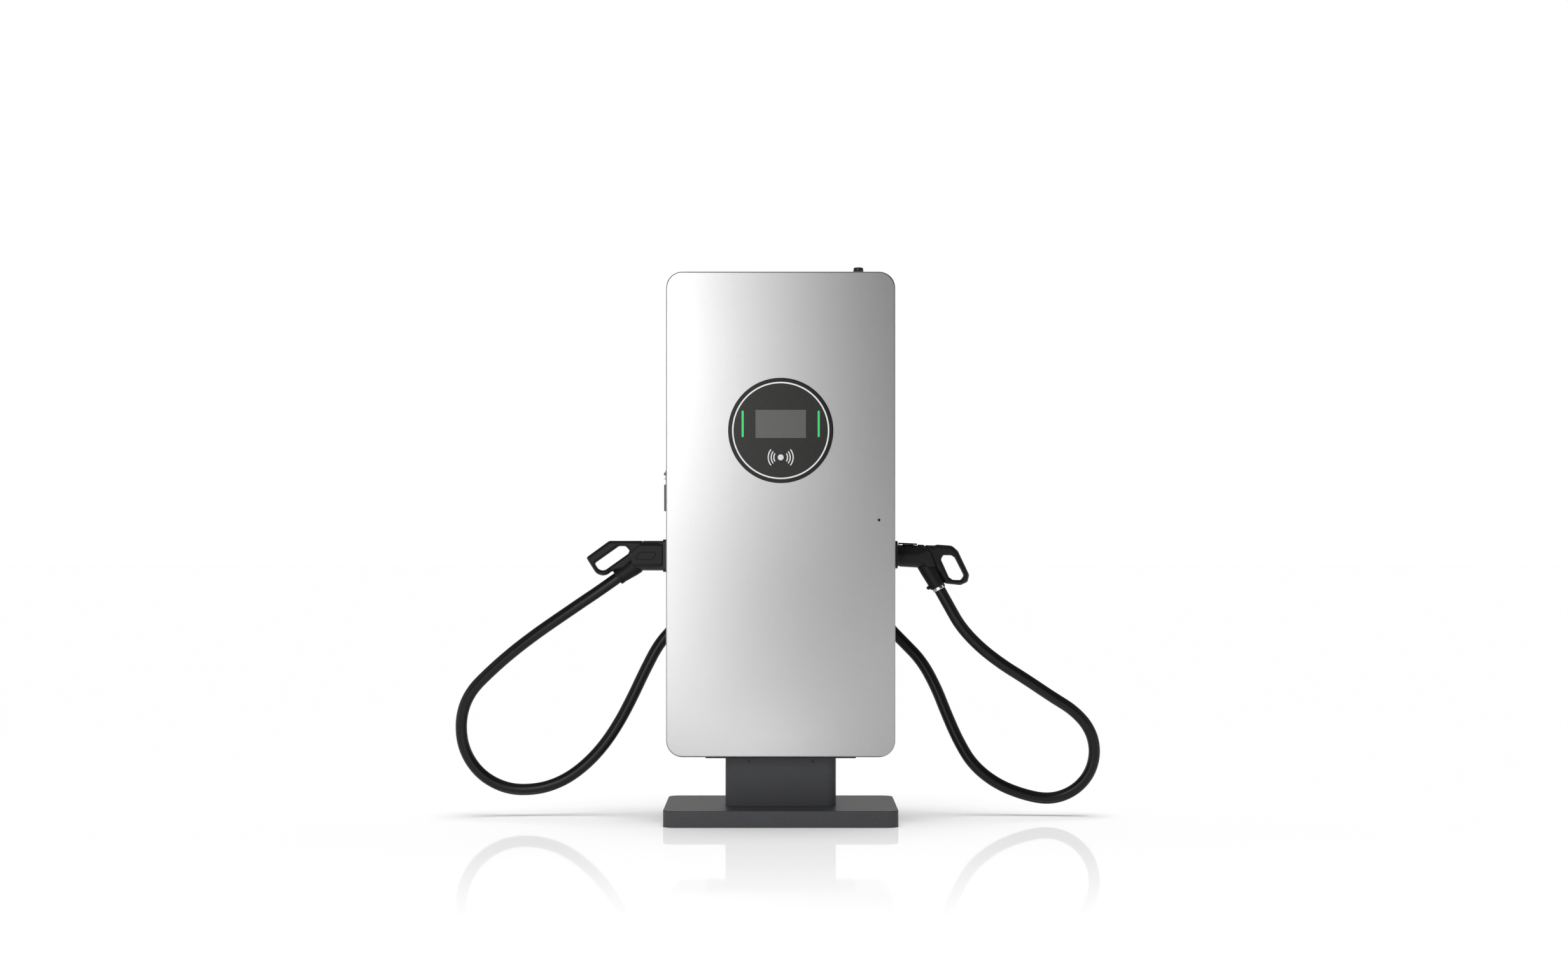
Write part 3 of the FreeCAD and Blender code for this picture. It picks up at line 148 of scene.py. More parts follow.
MATS = {
    "silver_sheet": finish("silver_paint", (0.42, 0.414, 0.417), 0.28, metallic=0.94, grain=650, vary=0.015,
                           cloud=0.02, bump=0.01, rough_vary=0.015),
    "dark_sheet": finish("dark_powder_coat", (0.077, 0.078, 0.085), 0.42, specular=0.08, grain=500, vary=0.12,
                         cloud=0.06, bump=0.05, bump_size=1400),
    "black_sheet": finish("black_powder_coat", (0.012, 0.012, 0.013), 0.5, grain=500, bump=0.2),
    "zinc_steel": finish("zinc_plate", (0.55, 0.55, 0.53), 0.38, metallic=1.0, grain=60, vary=0.14,
                         cloud=0.15, bump=0.1, bump_size=500),
    "black_screws": finish("blackened_screw", (0.02, 0.02, 0.02), 0.4, metallic=0.6, grain=800),
    "seal_rubber": finish("seal_rubber", (0.016, 0.016, 0.016), 0.6, grain=500, bump=0.25),
    "cable_rubber": finish("cable_sheath", (0.0075, 0.0075, 0.0077), 0.3, specular=0.26, grain=700, vary=0.2,
                           cloud=0.12, bump=0.12, bump_size=900),
    "gland_plastic": finish("gland_plastic", (0.018, 0.018, 0.019), 0.45, grain=700, bump=0.15),
    "holster_plastic": finish("holster_plastic", (0.012, 0.012, 0.013), 0.45, specular=0.3, grain=800,
                              bump=0.2),
    "gun_plastic": finish("gun_plastic", (0.010, 0.010, 0.0098), 0.42, specular=0.16, grain=1100, vary=0.16,
                          cloud=0.08, bump=0.22, bump_size=1800),
    "gun_rubber": finish("gun_rubber", (0.009, 0.009, 0.009), 0.4, specular=0.16, grain=900, vary=0.15,
                         bump=0.2),
    "nose_plastic": finish("nose_plastic", (0.012, 0.012, 0.012), 0.4, specular=0.2, grain=500, bump=0.08),
    "contact_metal": finish("plated_contact", (0.80, 0.60, 0.30), 0.25, metallic=1.0, grain=400, vary=0.08),
    "bright_metal": finish("satin_chrome", (0.80, 0.80, 0.81), 0.2, metallic=1.0, grain=300, vary=0.06,
                           bump=0.05),
    "lock_black": finish("lock_paint", (0.03, 0.03, 0.03), 0.35, grain=700, bump=0.1),
    "bezel_black": finish("bezel_gloss", (0.012, 0.012, 0.012), 0.22, specular=0.22, grain=300, vary=0.1,
                          bump=0.02),
    "ring_white": finish("opal_ring", (0.78, 0.78, 0.77), 0.3, grain=300, vary=0.03, bump=0.02),
    "panel_glass": finish("smoked_glass", (0.02, 0.02, 0.019), 0.3, grain=200, vary=0.05, cloud=0.05,
                          bump=0.01, specular=0.22),
    "screen": finish("dark_screen", (0.075, 0.075, 0.072), 0.35, grain=1500, vary=0.06, cloud=0.05,
                     bump=0.01),
    "light_green": finish("green_light", (0.02, 0.42, 0.11), 0.35, grain=250, vary=0.05, bump=0.02,
                          emit=(0.02, 0.62, 0.13), emit_strength=0.3),
    "symbol_white": finish("white_print", (0.68, 0.68, 0.68), 0.45, grain=600, vary=0.03, bump=0.02),
    "lens_black": finish("smoked_lens", (0.008, 0.008, 0.01), 0.15, grain=200, bump=0.0),
    "housing_plastic": finish("housing_plastic", (0.035, 0.035, 0.036), 0.45, grain=600, bump=0.2),
    "circuit_board": finish("solder_mask", (0.02, 0.13, 0.05), 0.35, grain=160, vary=0.25, bump=0.25),
    "module_metal": finish("pressed_aluminium", (0.30, 0.30, 0.31), 0.5, metallic=0.6, grain=120, vary=0.08,
                           cloud=0.08, bump=0.08, stretch=(0.15, 1, 4)),
    "switchgear_grey": finish("switchgear_plastic", (0.36, 0.37, 0.38), 0.45, grain=600, vary=0.06,
                              bump=0.12),
    "breaker_black": finish("breaker_plastic", (0.025, 0.025, 0.025), 0.4, grain=600, bump=0.12),
}


# The photo's white ring and green bars are a little narrower than the CAD's, so their edges are painted dark.
RING_MIDDLE, RING_EDGE = (0, 0, 1.2), 0.1482
BAR_MIDDLE, BAR_EDGE = (0.116, 0, 0), 0.0032
EDGE_COLOR = (0.012, 0.012, 0.012, 1)


def darken_outside(mat, middle, limit, along):
    """Paint a piece dark where it lies more than limit from middle, measured over the axes in along.
    Left and right count as one side."""
    nodes, links = mat.node_tree.nodes, mat.node_tree.links
    shader = nodes["Principled BSDF"]
    place = nodes.new("ShaderNodeTexCoord")
    fold = nodes.new("ShaderNodeVectorMath")
    fold.operation = "ABSOLUTE"
    links.new(place.outputs["Object"], fold.inputs[0])
    flat = nodes.new("ShaderNodeVectorMath")
    flat.operation = "MULTIPLY"
    flat.inputs[1].default_value = along
    links.new(fold.outputs["Vector"], flat.inputs[0])
    reach = nodes.new("ShaderNodeVectorMath")
    reach.operation = "DISTANCE"
    reach.inputs[1].default_value = middle
    links.new(flat.outputs["Vector"], reach.inputs[0])
    beyond = nodes.new("ShaderNodeMath")
    beyond.operation = "GREATER_THAN"
    beyond.inputs[1].default_value = limit
    links.new(reach.outputs["Value"], beyond.inputs[0])
    mix = nodes.new("ShaderNodeMix")
    mix.data_type = "RGBA"
    mix.inputs["B"].default_value = EDGE_COLOR
    links.new(beyond.outputs["Value"], mix.inputs["Factor"])
    links.new(shader.inputs["Base Color"].links[0].from_socket, mix.inputs["A"])
    links.new(mix.outputs["Result"], shader.inputs["Base Color"])
    glow = shader.inputs["Emission Strength"].default_value
    if glow:
        keep = nodes.new("ShaderNodeMapRange")
        keep.inputs["To Min"].default_value = glow
        keep.inputs["To Max"].default_value = 0
        links.new(beyond.outputs["Value"], keep.inputs["Value"])
        links.new(keep.outputs["Result"], shader.inputs["Emission Strength"])


darken_outside(MATS["ring_white"], RING_MIDDLE, RING_EDGE, (1, 0, 1))
darken_outside(MATS["light_green"], BAR_MIDDLE, BAR_EDGE, (1, 0, 0))

for part in frame["record"]["subparts"]:
    thing = NODES[part["node"]]
    thing.data.materials.clear()
    thing.data.materials.append(MATS[part["material_slot"]])


# ---------------------------------------------------------------- mesh helpers
def add_mesh(name, verts, faces, body=None, slot=None, angle=35):
    """A smooth-shaded mesh piece in the shared frame, with its material, riding on a body."""
    mesh = bpy.data.meshes.new(name)
    mesh.from_pydata([tuple(v) for v in verts], [], [tuple(f) for f in faces])
    mesh.validate()
    work = bmesh.new()
    work.from_mesh(mesh)
    bmesh.ops.recalc_face_normals(work, faces=work.faces)
    work.to_mesh(mesh)
    work.free()
    thing = bpy.data.objects.new(name, mesh)
    bpy.context.scene.collection.objects.link(thing)
    mesh.shade_smooth()
    mesh.set_sharp_from_angle(angle=math.radians(angle))
    if slot:
        mesh.materials.append(MATS[slot])
    if body:
        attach(thing, body)
    return thing


def circle(centre, side, other, radius, count):
    """Points round a centre, in the plane of two unit vectors."""
    turns = [2 * math.pi * k / count for k in range(count)]
    return [centre + (side * math.cos(turn) + other * math.sin(turn)) * radius for turn in turns]


def skin(rings, count):
    """Faces that join rings of count vertices each into one closed piece with flat ends."""
    faces = []
    for ring in range(rings - 1):
        for k in range(count):
            a = ring * count + k
            b = ring * count + (k + 1) % count
            faces.append((a, b, b + count, a + count))
    last = (rings - 1) * count
    return faces + [tuple(reversed(range(count))), tuple(range(last, last + count))]


def lathe(profile, foot, axis, count=64):
    """Vertices and faces of a turned piece, closed at both ends. The profile is (distance along the axis,
    radius)."""
    axis = Vector(axis).normalized()
    side = axis.orthogonal().normalized()
    other = axis.cross(side)
    verts = []
    for along, radius in profile:
        verts += circle(Vector(foot) + axis * along, side, other, radius, count)
    return verts, skin(len(profile), count)


def rounded_steps(steps, radius, count=4):
    """A turned profile with each inner corner replaced by a small arc."""
    points = [Vector(p) for p in steps]
    out = [points[0]]
    for before, here, after in zip(points, points[1:], points[2:]):
        back = (before - here).normalized()
        ahead = (after - here).normalized()
        reach = min(radius, (before - here).length * 0.45, (after - here).length * 0.45)
        start, end = here + back * reach, here + ahead * reach
        for k in range(count + 1):
            t = k / count
            out.append(start * (1 - t) ** 2 + here * 2 * t * (1 - t) + end * t ** 2)
    out.append(points[-1])
    return [(p.x, p.y) for p in out]


# ---------------------------------------------------------------- charging cables
# Each route runs from the rear gland, round the hanging loop, to the connector's collar, in metres.
ROUTES = {
    "left": [(-.305, .165, .756), (-.305, .165, .720), (-.310, .165, .652), (-.337, .164, .590),
             (-.386, .160, .537), (-.430, .154, .452), (-.470, .148, .366), (-.512, .141, .286),
             (-.562, .134, .212), (-.622, .126, .150), (-.690, .118, .104), (-.768, .110, .080),
             (-.860, .101, .082), (-.944, .092, .128), (-.996, .083, .209), (-1.004, .074, .305),
             (-.975, .065, .388), (-.905, .057, .458), (-.833, .049, .520), (-.756, .042, .578),
             (-.680, .036, .630), (-.614, .032, .675), (-.560, .030, .711), (-.508, .030, .748)],
    "right": [(.305, .165, .756), (.305, .165, .720), (.311, .165, .654), (.338, .164, .594),
              (.385, .160, .546), (.446, .154, .484), (.491, .148, .401), (.524, .141, .316),
              (.561, .134, .231), (.606, .126, .156), (.680, .118, .097), (.771, .110, .062),
              (.850, .103, .050), (.921, .096, .076), (.970, .089, .130), (.988, .082, .202),
              (.970, .075, .274), (.919, .067, .332), (.846, .059, .377), (.766, .051, .431),
              (.690, .044, .478), (.619, .037, .533), (.560, .032, .596), (.524, .030, .660),
              (.495, .030, .712)],
}
CABLE_ROUND = 0.018


def smooth_line(points):
    """Points along the NURBS spline that has these control points."""
    curve = bpy.data.curves.new("route", "CURVE")
    curve.dimensions = "3D"
    spline = curve.splines.new("NURBS")
    spline.points.add(len(points) - 1)
    for target, point in zip(spline.points, points):
        target.co = (*point, 1)
    spline.order_u = 3
    spline.use_endpoint_u = True
    spline.resolution_u = 12
    holder = bpy.data.objects.new("route", curve)
    bpy.context.scene.collection.objects.link(holder)
    mesh = bpy.data.meshes.new_from_object(holder)
    line = [v.co.copy() for v in mesh.vertices]
    bpy.data.objects.remove(holder)
    bpy.data.meshes.remove(mesh)
    return line


def tube(line, radius, count=32):
    """A closed tube that follows a line of points without twisting."""
    verts = []
    side = Vector((0, 1, 0))
    for i, point in enumerate(line):
        ahead = (line[min(i + 1, len(line) - 1)] - line[max(i - 1, 0)]).normalized()
        side = (side - ahead * side.dot(ahead)).normalized()
        verts += circle(point, side, ahead.cross(side), radius, count)
    return verts, skin(len(line), count)


LINES = {}
for side in ("left", "right"):
    LINES[side] = smooth_line(ROUTES[side])
    cable = add_mesh(f"cable_{side}", *tube(LINES[side], CABLE_ROUND), slot="cable_rubber")
    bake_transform(cable)
    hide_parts(f"charging_cable_{side}")


# ---------------------------------------------------------------- connectors
# Outlines in millimetres as corners (x, z, radius), seen from the front. A casing is a cushion-like solid
# on the middle plane, whose rounding is set edge by edge. RINGS are the depths of the mesh's rows inside an
# edge, and GROOVE_ROWS the places of its rows across a groove, in widths of the groove. Past FINE_DEPTH a row
# has half the points. The rest of the mesh is a triangular grid that keeps clear of the rows.
MIDDLE = 30.0
HEAD_HALF, LOOP_HALF = 35, 20
RINGS = (0.06, 0.25, 0.6, 1.2, 2.0, 3.2, 4.8, 7.0, 9.5, 12.5, 16.0, 20.0)
FINE_DEPTH = 5
ROW_CLEAR, HOLE_REACH = 0.93, 3
GROOVE_ROWS = (-1.8, -1.1, -0.5, 0, 0.5, 1.1, 1.8)
GROOVE_MARGIN, FILL_MARGIN = 0.5, 1.5
GRID_RISE, GRID_CLEAR = 0.87, 0.45
MERGE_STEP = 0.05
HEAD_SPACING, LOOP_SPACING = 2.2, 2.6
HOLE_ROUND = 8
RIM_ROUND = 3.0
RIM_HALF = 0.7
SEAM_DEPTH = 0.6


def outline(corners, step=1.8):
    """Points along a closed outline with rounded corners."""
    out = []
    count = len(corners)
    for i, (x, z, radius) in enumerate(corners):
        here = np.array((x, z), float)
        back = np.array(corners[i - 1][:2], float) - here
        ahead = np.array(corners[(i + 1) % count][:2], float) - here
        back /= np.linalg.norm(back)
        ahead /= np.linalg.norm(ahead)
        half = math.acos(max(-1, min(1, float(back @ ahead)))) / 2
        reach = radius / math.tan(half)
        middle = (back + ahead) / np.linalg.norm(back + ahead)
        centre = here + middle * radius / math.sin(half)
        first, last = here + back * reach, here + ahead * reach
        turn = math.pi - 2 * half
        cross = (first - centre)[0] * (last - centre)[1] - (first - centre)[1] * (last - centre)[0]
        pieces = max(2, int(turn * radius / step) + 1)
        for k in range(pieces + 1):
            angle = math.copysign(turn * k / pieces, cross)
            c, s = math.cos(angle), math.sin(angle)
            d = first - centre
            out.append(centre + np.array((d[0] * c - d[1] * s, d[0] * s + d[1] * c)))
    dense = []
    for a, b in zip(out, out[1:] + out[:1]):
        pieces = max(1, int(np.linalg.norm(b - a) / step))
        dense += [a + (b - a) * k / pieces for k in range(pieces)]
    kept = [dense[0]]
    for p in dense[1:]:
        if np.linalg.norm(p - kept[-1]) > MERGE_STEP:
            kept.append(p)
    return np.array(kept)


def away(points, a, b):
    """Distance of each point from the straight piece a-b."""
    a, b = np.array(a, float), np.array(b, float)
    d = b - a
    t = np.clip((points - a) @ d / (d @ d), 0, 1)
    return np.linalg.norm(points - (a + t[:, None] * d), axis=1)


def off_line(points, line):
    """Distance of each point from a closed line of points."""
    best = np.full(len(points), 1e9)
    for a, b in zip(line, np.roll(line, -1, axis=0)):
        best = np.minimum(best, away(points, a, b))
    return best


def within(points, line):
    """Whether each point is inside a closed outline."""
    x, z = points[:, 0], points[:, 1]
    found = np.zeros(len(points), bool)
    for (ax, az), (bx, bz) in zip(line, np.roll(line, -1, axis=0)):
        crosses = (az > z) != (bz > z)
        with np.errstate(divide="ignore", invalid="ignore"):
            found ^= crosses & (x < (bx - ax) * (z - az) / (bz - az) + ax)
    return found


def bow(distance, radius):
    """Share of the full height at a distance from an edge with that rounding."""
    t = np.clip(1 - distance / radius, 0, 1)
    return (1 - t ** 2.0) ** 0.5


def sideways(line, ahead):
    """Unit vectors at a right angle to a line's direction at each point."""
    return np.stack((-ahead[:, 1], ahead[:, 0]), 1) / np.linalg.norm(ahead, axis=1)[:, None]


def edge_rows(rim, inner):
    """Rows of points that follow the outlines at growing depths."""
    rows = []
    for loop in (rim, inner):
        if loop is None:
            continue
        after, before = np.roll(loop, -1, axis=0), np.roll(loop, 1, axis=0)
        normal = sideways(loop, after - before)
        area = 0.5 * np.sum(loop[:, 0] * after[:, 1] - after[:, 0] * loop[:, 1])
        if (area < 0) != (loop is inner):
            normal = -normal
        for depth in RINGS:
            step = 1 if depth < FINE_DEPTH else 2
            row = loop[::step] + normal[::step] * depth
            good = within(row, rim) & (off_line(row, rim) > depth * ROW_CLEAR)
            if inner is not None:
                good &= ~within(row, inner) & (off_line(row, inner) > min(depth, HOLE_REACH) * ROW_CLEAR)
            rows.append(row[good])
    return rows


def groove_rows(grooves, rim):
    """Rows of points on both sides of each groove, so that the mesh can follow it."""
    rows = []
    for line, _, wide in grooves:
        normal = sideways(line, np.gradient(line, axis=0))
        for shift in GROOVE_ROWS:
            beside = line + normal * shift * wide
            good = within(beside, rim) & (off_line(beside, rim) > GROOVE_MARGIN)
            rows.append(beside[good])
    return rows


def fill_points(rim, inner, rows, spacing):
    """A staggered grid of points that keeps clear of the rows and of the outlines."""
    low, high = rim.min(0), rim.max(0)
    lines = []
    z = low[1]
    while z < high[1]:
        xs = np.arange(low[0] + (spacing / 2 if len(lines) % 2 else 0), high[0], spacing)
        lines.append(np.stack((xs, np.full(len(xs), z)), 1))
        z += spacing * GRID_RISE
    fill = np.concatenate(lines)
    good = within(fill, rim) & (off_line(fill, rim) > FILL_MARGIN)
    if inner is not None:
        good &= ~within(fill, inner) & (off_line(fill, inner) > FILL_MARGIN)
    fill = fill[good]
    nearest = np.array([np.min(np.sum((rows - p) ** 2, axis=1)) for p in fill])
    return fill[nearest > (spacing * GRID_CLEAR) ** 2]


def thinned(points, grid=0.35):
    """The points with at most one in each cell of a grid."""
    out, seen = [], set()
    for p in points:
        key = (round(p[0] / grid), round(p[1] / grid))
        if key not in seen:
            seen.add(key)
            out.append(p)
    return out


def flat_mesh(rim, inner, points):
    """Points and triangles that fill the outline, apart from its hole."""
    loops = [rim] + ([inner] if inner is not None else [])
    spots = [Vector(p) for loop in loops for p in loop] + [Vector(p) for p in points]
    bounds = []
    base = 0
    for loop in loops:
        bounds += [(base + k, base + (k + 1) % len(loop)) for k in range(len(loop))]
        base += len(loop)
    flat, _, triangles, _, _, _ = delaunay_2d_cdt(spots, bounds, [], 1, 1e-5)
    flat = np.array([tuple(p) for p in flat])
    triangles = np.array([t for t in triangles if len(t) == 3])
    centres = flat[triangles].mean(1)
    good = within(centres, rim)
    if inner is not None:
        good &= ~within(centres, inner)
    return flat, triangles[good]


def doubled(flat, triangles, half):
    """Front and rear face, each half the thickness from the middle plane, joined by a fine seam."""
    count = len(flat)
    front = np.stack((flat[:, 0], MIDDLE - half, flat[:, 1]), 1)
    rear = np.stack((flat[:, 0], MIDDLE + half, flat[:, 1]), 1)
    verts = [*front, *rear]
    faces = [tuple(t) for t in triangles] + [tuple(t[::-1] + count) for t in triangles]
    pairs = {(t[k], t[(k + 1) % 3]): None for t in triangles for k in range(3)}
    open_edges = [(a, b) for a, b in pairs if (b, a) not in pairs]
    follow = dict(open_edges)
    before = {b: a for a, b in open_edges}
    seam = {}
    for a in follow:
        tangent = flat[follow[a]] - flat[before[a]]
        inward = np.array((-tangent[1], tangent[0])) / max(np.linalg.norm(tangent), 1e-6)
        seam[a] = len(verts)
        spot = flat[a] + inward * SEAM_DEPTH
        verts.append((spot[0], MIDDLE, spot[1]))
    for a, b in open_edges:
        faces.append((b, a, seam[a], seam[b]))
        faces.append((seam[b], seam[a], a + count, b + count))
    return verts, faces


def cushion(name, body, slot, corners, half, rounding, hole=None, grooves=(), stands_for=(),
            spacing=LOOP_SPACING):
    """A casing piece from an outline. The rounding gives each outline edge its own radius, in order, and
    grooves are (closed line of points, depth, width) pressed into both faces."""
    rim = outline(corners)
    edges = [(corners[i][:2], corners[(i + 1) % len(corners)][:2]) for i in range(len(corners))]
    inner = outline(hole) if hole else None

    def height(points):
        h = np.full(len(points), float(half))
        for (a, b), radius in zip(edges, rounding):
            if radius:
                run = np.array(b, float) - np.array(a, float)
                normal = np.array((-run[1], run[0])) / np.linalg.norm(run)
                inside_way = normal if (rim.mean(0) - np.array(a)) @ normal > 0 else -normal
                flat = np.abs((points - np.array(a)) @ inside_way)
                h *= bow(np.maximum(away(points, a, b), flat), radius)
        near = off_line(points, rim)
        h = np.minimum(h, np.where(near < RIM_ROUND, half * bow(near, min(r for r in rounding if r)), half))
        if inner is not None:
            h = np.minimum(h, half * bow(off_line(points, inner), HOLE_ROUND))
        for line, depth, wide in grooves:
            h -= depth * np.exp(-(off_line(points, line) / wide) ** 2)
        return np.maximum(h, RIM_HALF)

    rows = np.concatenate(edge_rows(rim, inner) + groove_rows(grooves, rim))
    points = thinned(np.concatenate((rows, fill_points(rim, inner, rows, spacing))))
    flat, triangles = flat_mesh(rim, inner, points)
    verts, faces = doubled(flat, triangles, height(flat))
    piece = add_mesh(name, [Vector(v) * 0.001 for v in verts], faces, body=body, slot=slot, angle=50)
    if stands_for:
        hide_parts(*stands_for)
    return piece


LEFT_HEAD = [(-365.3, 863.3, 1), (-365.3, 770.7, 1), (-445, 770.7, 6), (-455, 775, 4), (-471, 811, 7),
             (-467, 825.5, 5), (-427, 863.3, 3)]
LEFT_LOOP = [(-430, 863.3, 4), (-534, 863.3, 14), (-606, 811, 7), (-561.8, 740.1, 32), (-527, 767, 5),
             (-470, 776, 4), (-420, 800, 4)]
LEFT_HOLE = [(-578.7, 792.7, 6), (-503, 846.3, 12), (-483, 846.1, 8), (-471, 833, 5), (-475, 823, 6),
             (-559.6, 762.9, 20.5)]
LEFT_RECESS = [(-452, 806, 6), (-437, 827.5, 6), (-385, 827.5, 5), (-396, 804, 6)]
RECESS_DEPTH, RECESS_WIDTH = 0.9, 1.0
cushion("gun_left_head", "gun_left", "gun_plastic", LEFT_HEAD, HEAD_HALF, (0, 24, 10, 3, 3, 3, 20),
        grooves=[(outline(LEFT_RECESS, 1.0), RECESS_DEPTH, RECESS_WIDTH)], spacing=HEAD_SPACING,
        stands_for=["gun_left_front_shell"])
cushion("gun_left_loop", "gun_left", "gun_plastic", LEFT_LOOP, LOOP_HALF, (10,) * 7, hole=LEFT_HOLE,
        stands_for=["gun_left_rear_shell"])

RIGHT_HEAD = [(371, 849.5, 1), (379, 849.2, 0.8), (380, 852.2, 0.5), (408, 850.8, 2), (426, 848.4, 0.5),
              (428, 851.6, 0.8), (445, 850.8, 3), (465, 833, 8), (484.5, 781, 4), (433.3, 779.3, 3),
              (371, 782.7, 1)]
RIGHT_LOOP = [(448, 849.9, 4), (478, 848.8, 3), (488, 851.5, 4), (533.4, 848.2, 24), (552, 832, 12),
              (587.5, 757, 18), (582, 735, 10), (560, 725, 12), (513, 730, 5), (492, 760, 4), (462, 805, 4)]
RIGHT_HOLE = [(499.3, 805, 8), (506.1, 818, 6), (531, 817.6, 8), (541, 811, 8), (569.5, 755, 8),
              (560, 741, 9), (535.7, 742, 8), (524, 750, 6)]
cushion("gun_right_head", "gun_right", "gun_plastic", RIGHT_HEAD, HEAD_HALF,
        (34, 2, 34, 34, 2, 34, 6, 3, 4, 30, 0), spacing=HEAD_SPACING, stands_for=["gun_right_front_shell"])
cushion("gun_right_loop", "gun_right", "gun_plastic", RIGHT_LOOP, LOOP_HALF, (14,) + (11,) * 10,
        hole=RIGHT_HOLE, stands_for=["gun_right_rear_shell"])

# Turned pieces on the cables' ends: (distance along the cable, radius) in metres.
TURNED_SIDES = 96
SLEEVE_CORNER, CLAMP_CORNER = 0.0014, 0.0006
LEFT_SLEEVE = [(0.0, 0.0175), (0.0, 0.0232), (0.0025, 0.0246), (0.010, 0.0246), (0.0112, 0.0238),
               (0.055, 0.0285), (0.074, 0.0292), (0.082, 0.020)]
RIGHT_SLEEVE = [(0.010, 0.018), (0.010, 0.0236), (0.013, 0.0252), (0.034, 0.0256), (0.070, 0.0275),
                (0.092, 0.0278), (0.098, 0.020)]
CLAMP_RING = [(0.0, 0.0178), (0.0, 0.0208), (0.001, 0.0215), (0.009, 0.0215), (0.0105, 0.0205),
              (0.0105, 0.018)]
SCREW_LUG = [(-0.008, 0.0045), (-0.007, 0.0056), (0.007, 0.0056), (0.008, 0.0045)]
LUG_PLACE = (0.4600, MIDDLE / 1000, 0.7165)


def cable_end(side):
    """Foot and direction of a connector's sleeve, from the end of its cable."""
    before, end = (Vector(p) for p in ROUTES[side][-2:])
    return end, (end - before).normalized()


def turned(name, side, steps, corner, slot, stands_for):
    """A turned piece round the end of a cable."""
    verts, faces = lathe(rounded_steps(steps, corner), *cable_end(side), TURNED_SIDES)
    piece = add_mesh(name, verts, faces, body=f"gun_{side}", slot=slot)
    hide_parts(stands_for)


turned("gun_left_sleeve", "left", LEFT_SLEEVE, SLEEVE_CORNER, "gun_rubber", "gun_left_collar")
turned("gun_right_sleeve", "right", RIGHT_SLEEVE, SLEEVE_CORNER, "gun_rubber", "gun_right_collar")
add_mesh("gun_right_screw_lug", *lathe(SCREW_LUG, LUG_PLACE, (0, 1, 0), 48), body="gun_right",
         slot="gun_rubber")
turned("gun_right_clamp_ring", "right", CLAMP_RING, CLAMP_CORNER, "bright_metal", "gun_right_ring")


# ---------------------------------------------------------------- gland boots and rear louvres
GLANDS = [(-0.305, 0.165, 0.7565), (0.305, 0.165, 0.7565)]
BOOT_HIGH = 0.0435
BOOT_LOW_ROUND, BOOT_HIGH_ROUND = 0.020, 0.025
BOOT_GAP = 0.0002
BOOT_CORNER = 0.0006
RIBS, FIRST_RIB, RIB_STEP = 5, 0.004, 0.0072
RIB_SHAPE = ((0, 0), (0.0012, 0.0016), (0.0032, 0.0019), (0.0044, 0.0006))
FANS = (1.180, 1.480)
LOUVRE_STEP, LOUVRE_LIFT = 0.018, 0.003
HOOD_HALF, HOOD_FACE, HOOD_PROUD = 0.086, 0.1266, 0.0055


def combined(pieces):
    """One set of vertices and faces from several."""
    verts, faces = [], []
    for some_verts, some_faces in pieces:
        faces += [tuple(i + len(verts) for i in face) for face in some_faces]
        verts += some_verts
    return verts, faces


def boot_profile():
    """A tapering rubber boot with raised ribs, from its lower end up."""
    bore = CABLE_ROUND + BOOT_GAP
    points = [(0.0, bore), (0.0, BOOT_LOW_ROUND)]
    for i in range(RIBS):
        base = FIRST_RIB + i * RIB_STEP
        slope = BOOT_LOW_ROUND + (BOOT_HIGH_ROUND - BOOT_LOW_ROUND) * base / BOOT_HIGH
        points += [(base + up, slope + out) for up, out in RIB_SHAPE]
    return points + [(BOOT_HIGH, BOOT_HIGH_ROUND), (BOOT_HIGH, bore)]


boots = [lathe(rounded_steps(boot_profile(), BOOT_CORNER, 2), place, (0, 0, 1)) for place in GLANDS]
gland_boots = add_mesh("gland_boots_ribbed", *combined(boots), body="post", slot="seal_rubber")
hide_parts("gland_boots")


def hood(z):
    """A pressed louvre over one slot of the rear panel: a wedge that opens downwards."""
    lip = HOOD_FACE + HOOD_PROUD
    section = [(HOOD_FACE, z - 0.004), (lip, z - 0.0045), (lip, z - 0.0037), (HOOD_FACE + 0.0012, z + 0.0065),
               (HOOD_FACE, z + 0.0072)]
    verts = [Vector((x, y, height)) for x in (-HOOD_HALF, HOOD_HALF) for y, height in section]
    count = len(section)
    faces = [(k, (k + 1) % count, (k + 1) % count + count, k + count) for k in range(count)]
    return verts, faces + [tuple(range(count)), tuple(range(count, 2 * count))]


hoods = [hood(fan + step * LOUVRE_STEP + LOUVRE_LIFT) for fan in FANS for step in range(-4, 5)]
add_mesh("rear_louvres", *combined(hoods), body="post", slot="silver_sheet", angle=25)


# ---------------------------------------------------------------- floor and light
FLOOR_REACH, FLOOR_HIGH = 60, -0.0005
FLOOR_COLOR, FLOOR_ROUGH = (0.95, 0.95, 0.95, 1), 0.6
MIRROR_ROUGH, MIRROR_SHARE = 0.04, 0.26
MIRROR_START, MIRROR_END = -2.7, -0.2
FLOOR_CORNERS = [(-FLOOR_REACH, -FLOOR_REACH, FLOOR_HIGH), (FLOOR_REACH, -FLOOR_REACH, FLOOR_HIGH),
                 (FLOOR_REACH, FLOOR_REACH, FLOOR_HIGH), (-FLOOR_REACH, FLOOR_REACH, FLOOR_HIGH)]
floor_mesh = bpy.data.meshes.new("floor")
floor_mesh.from_pydata(FLOOR_CORNERS, [], [(0, 1, 2, 3)])
floor = bpy.data.objects.new("floor", floor_mesh)
bpy.context.scene.collection.objects.link(floor)
floor_mat, floor_tree, floor_shader = new_material("studio_floor")
floor_shader.inputs["Base Color"].default_value = FLOOR_COLOR
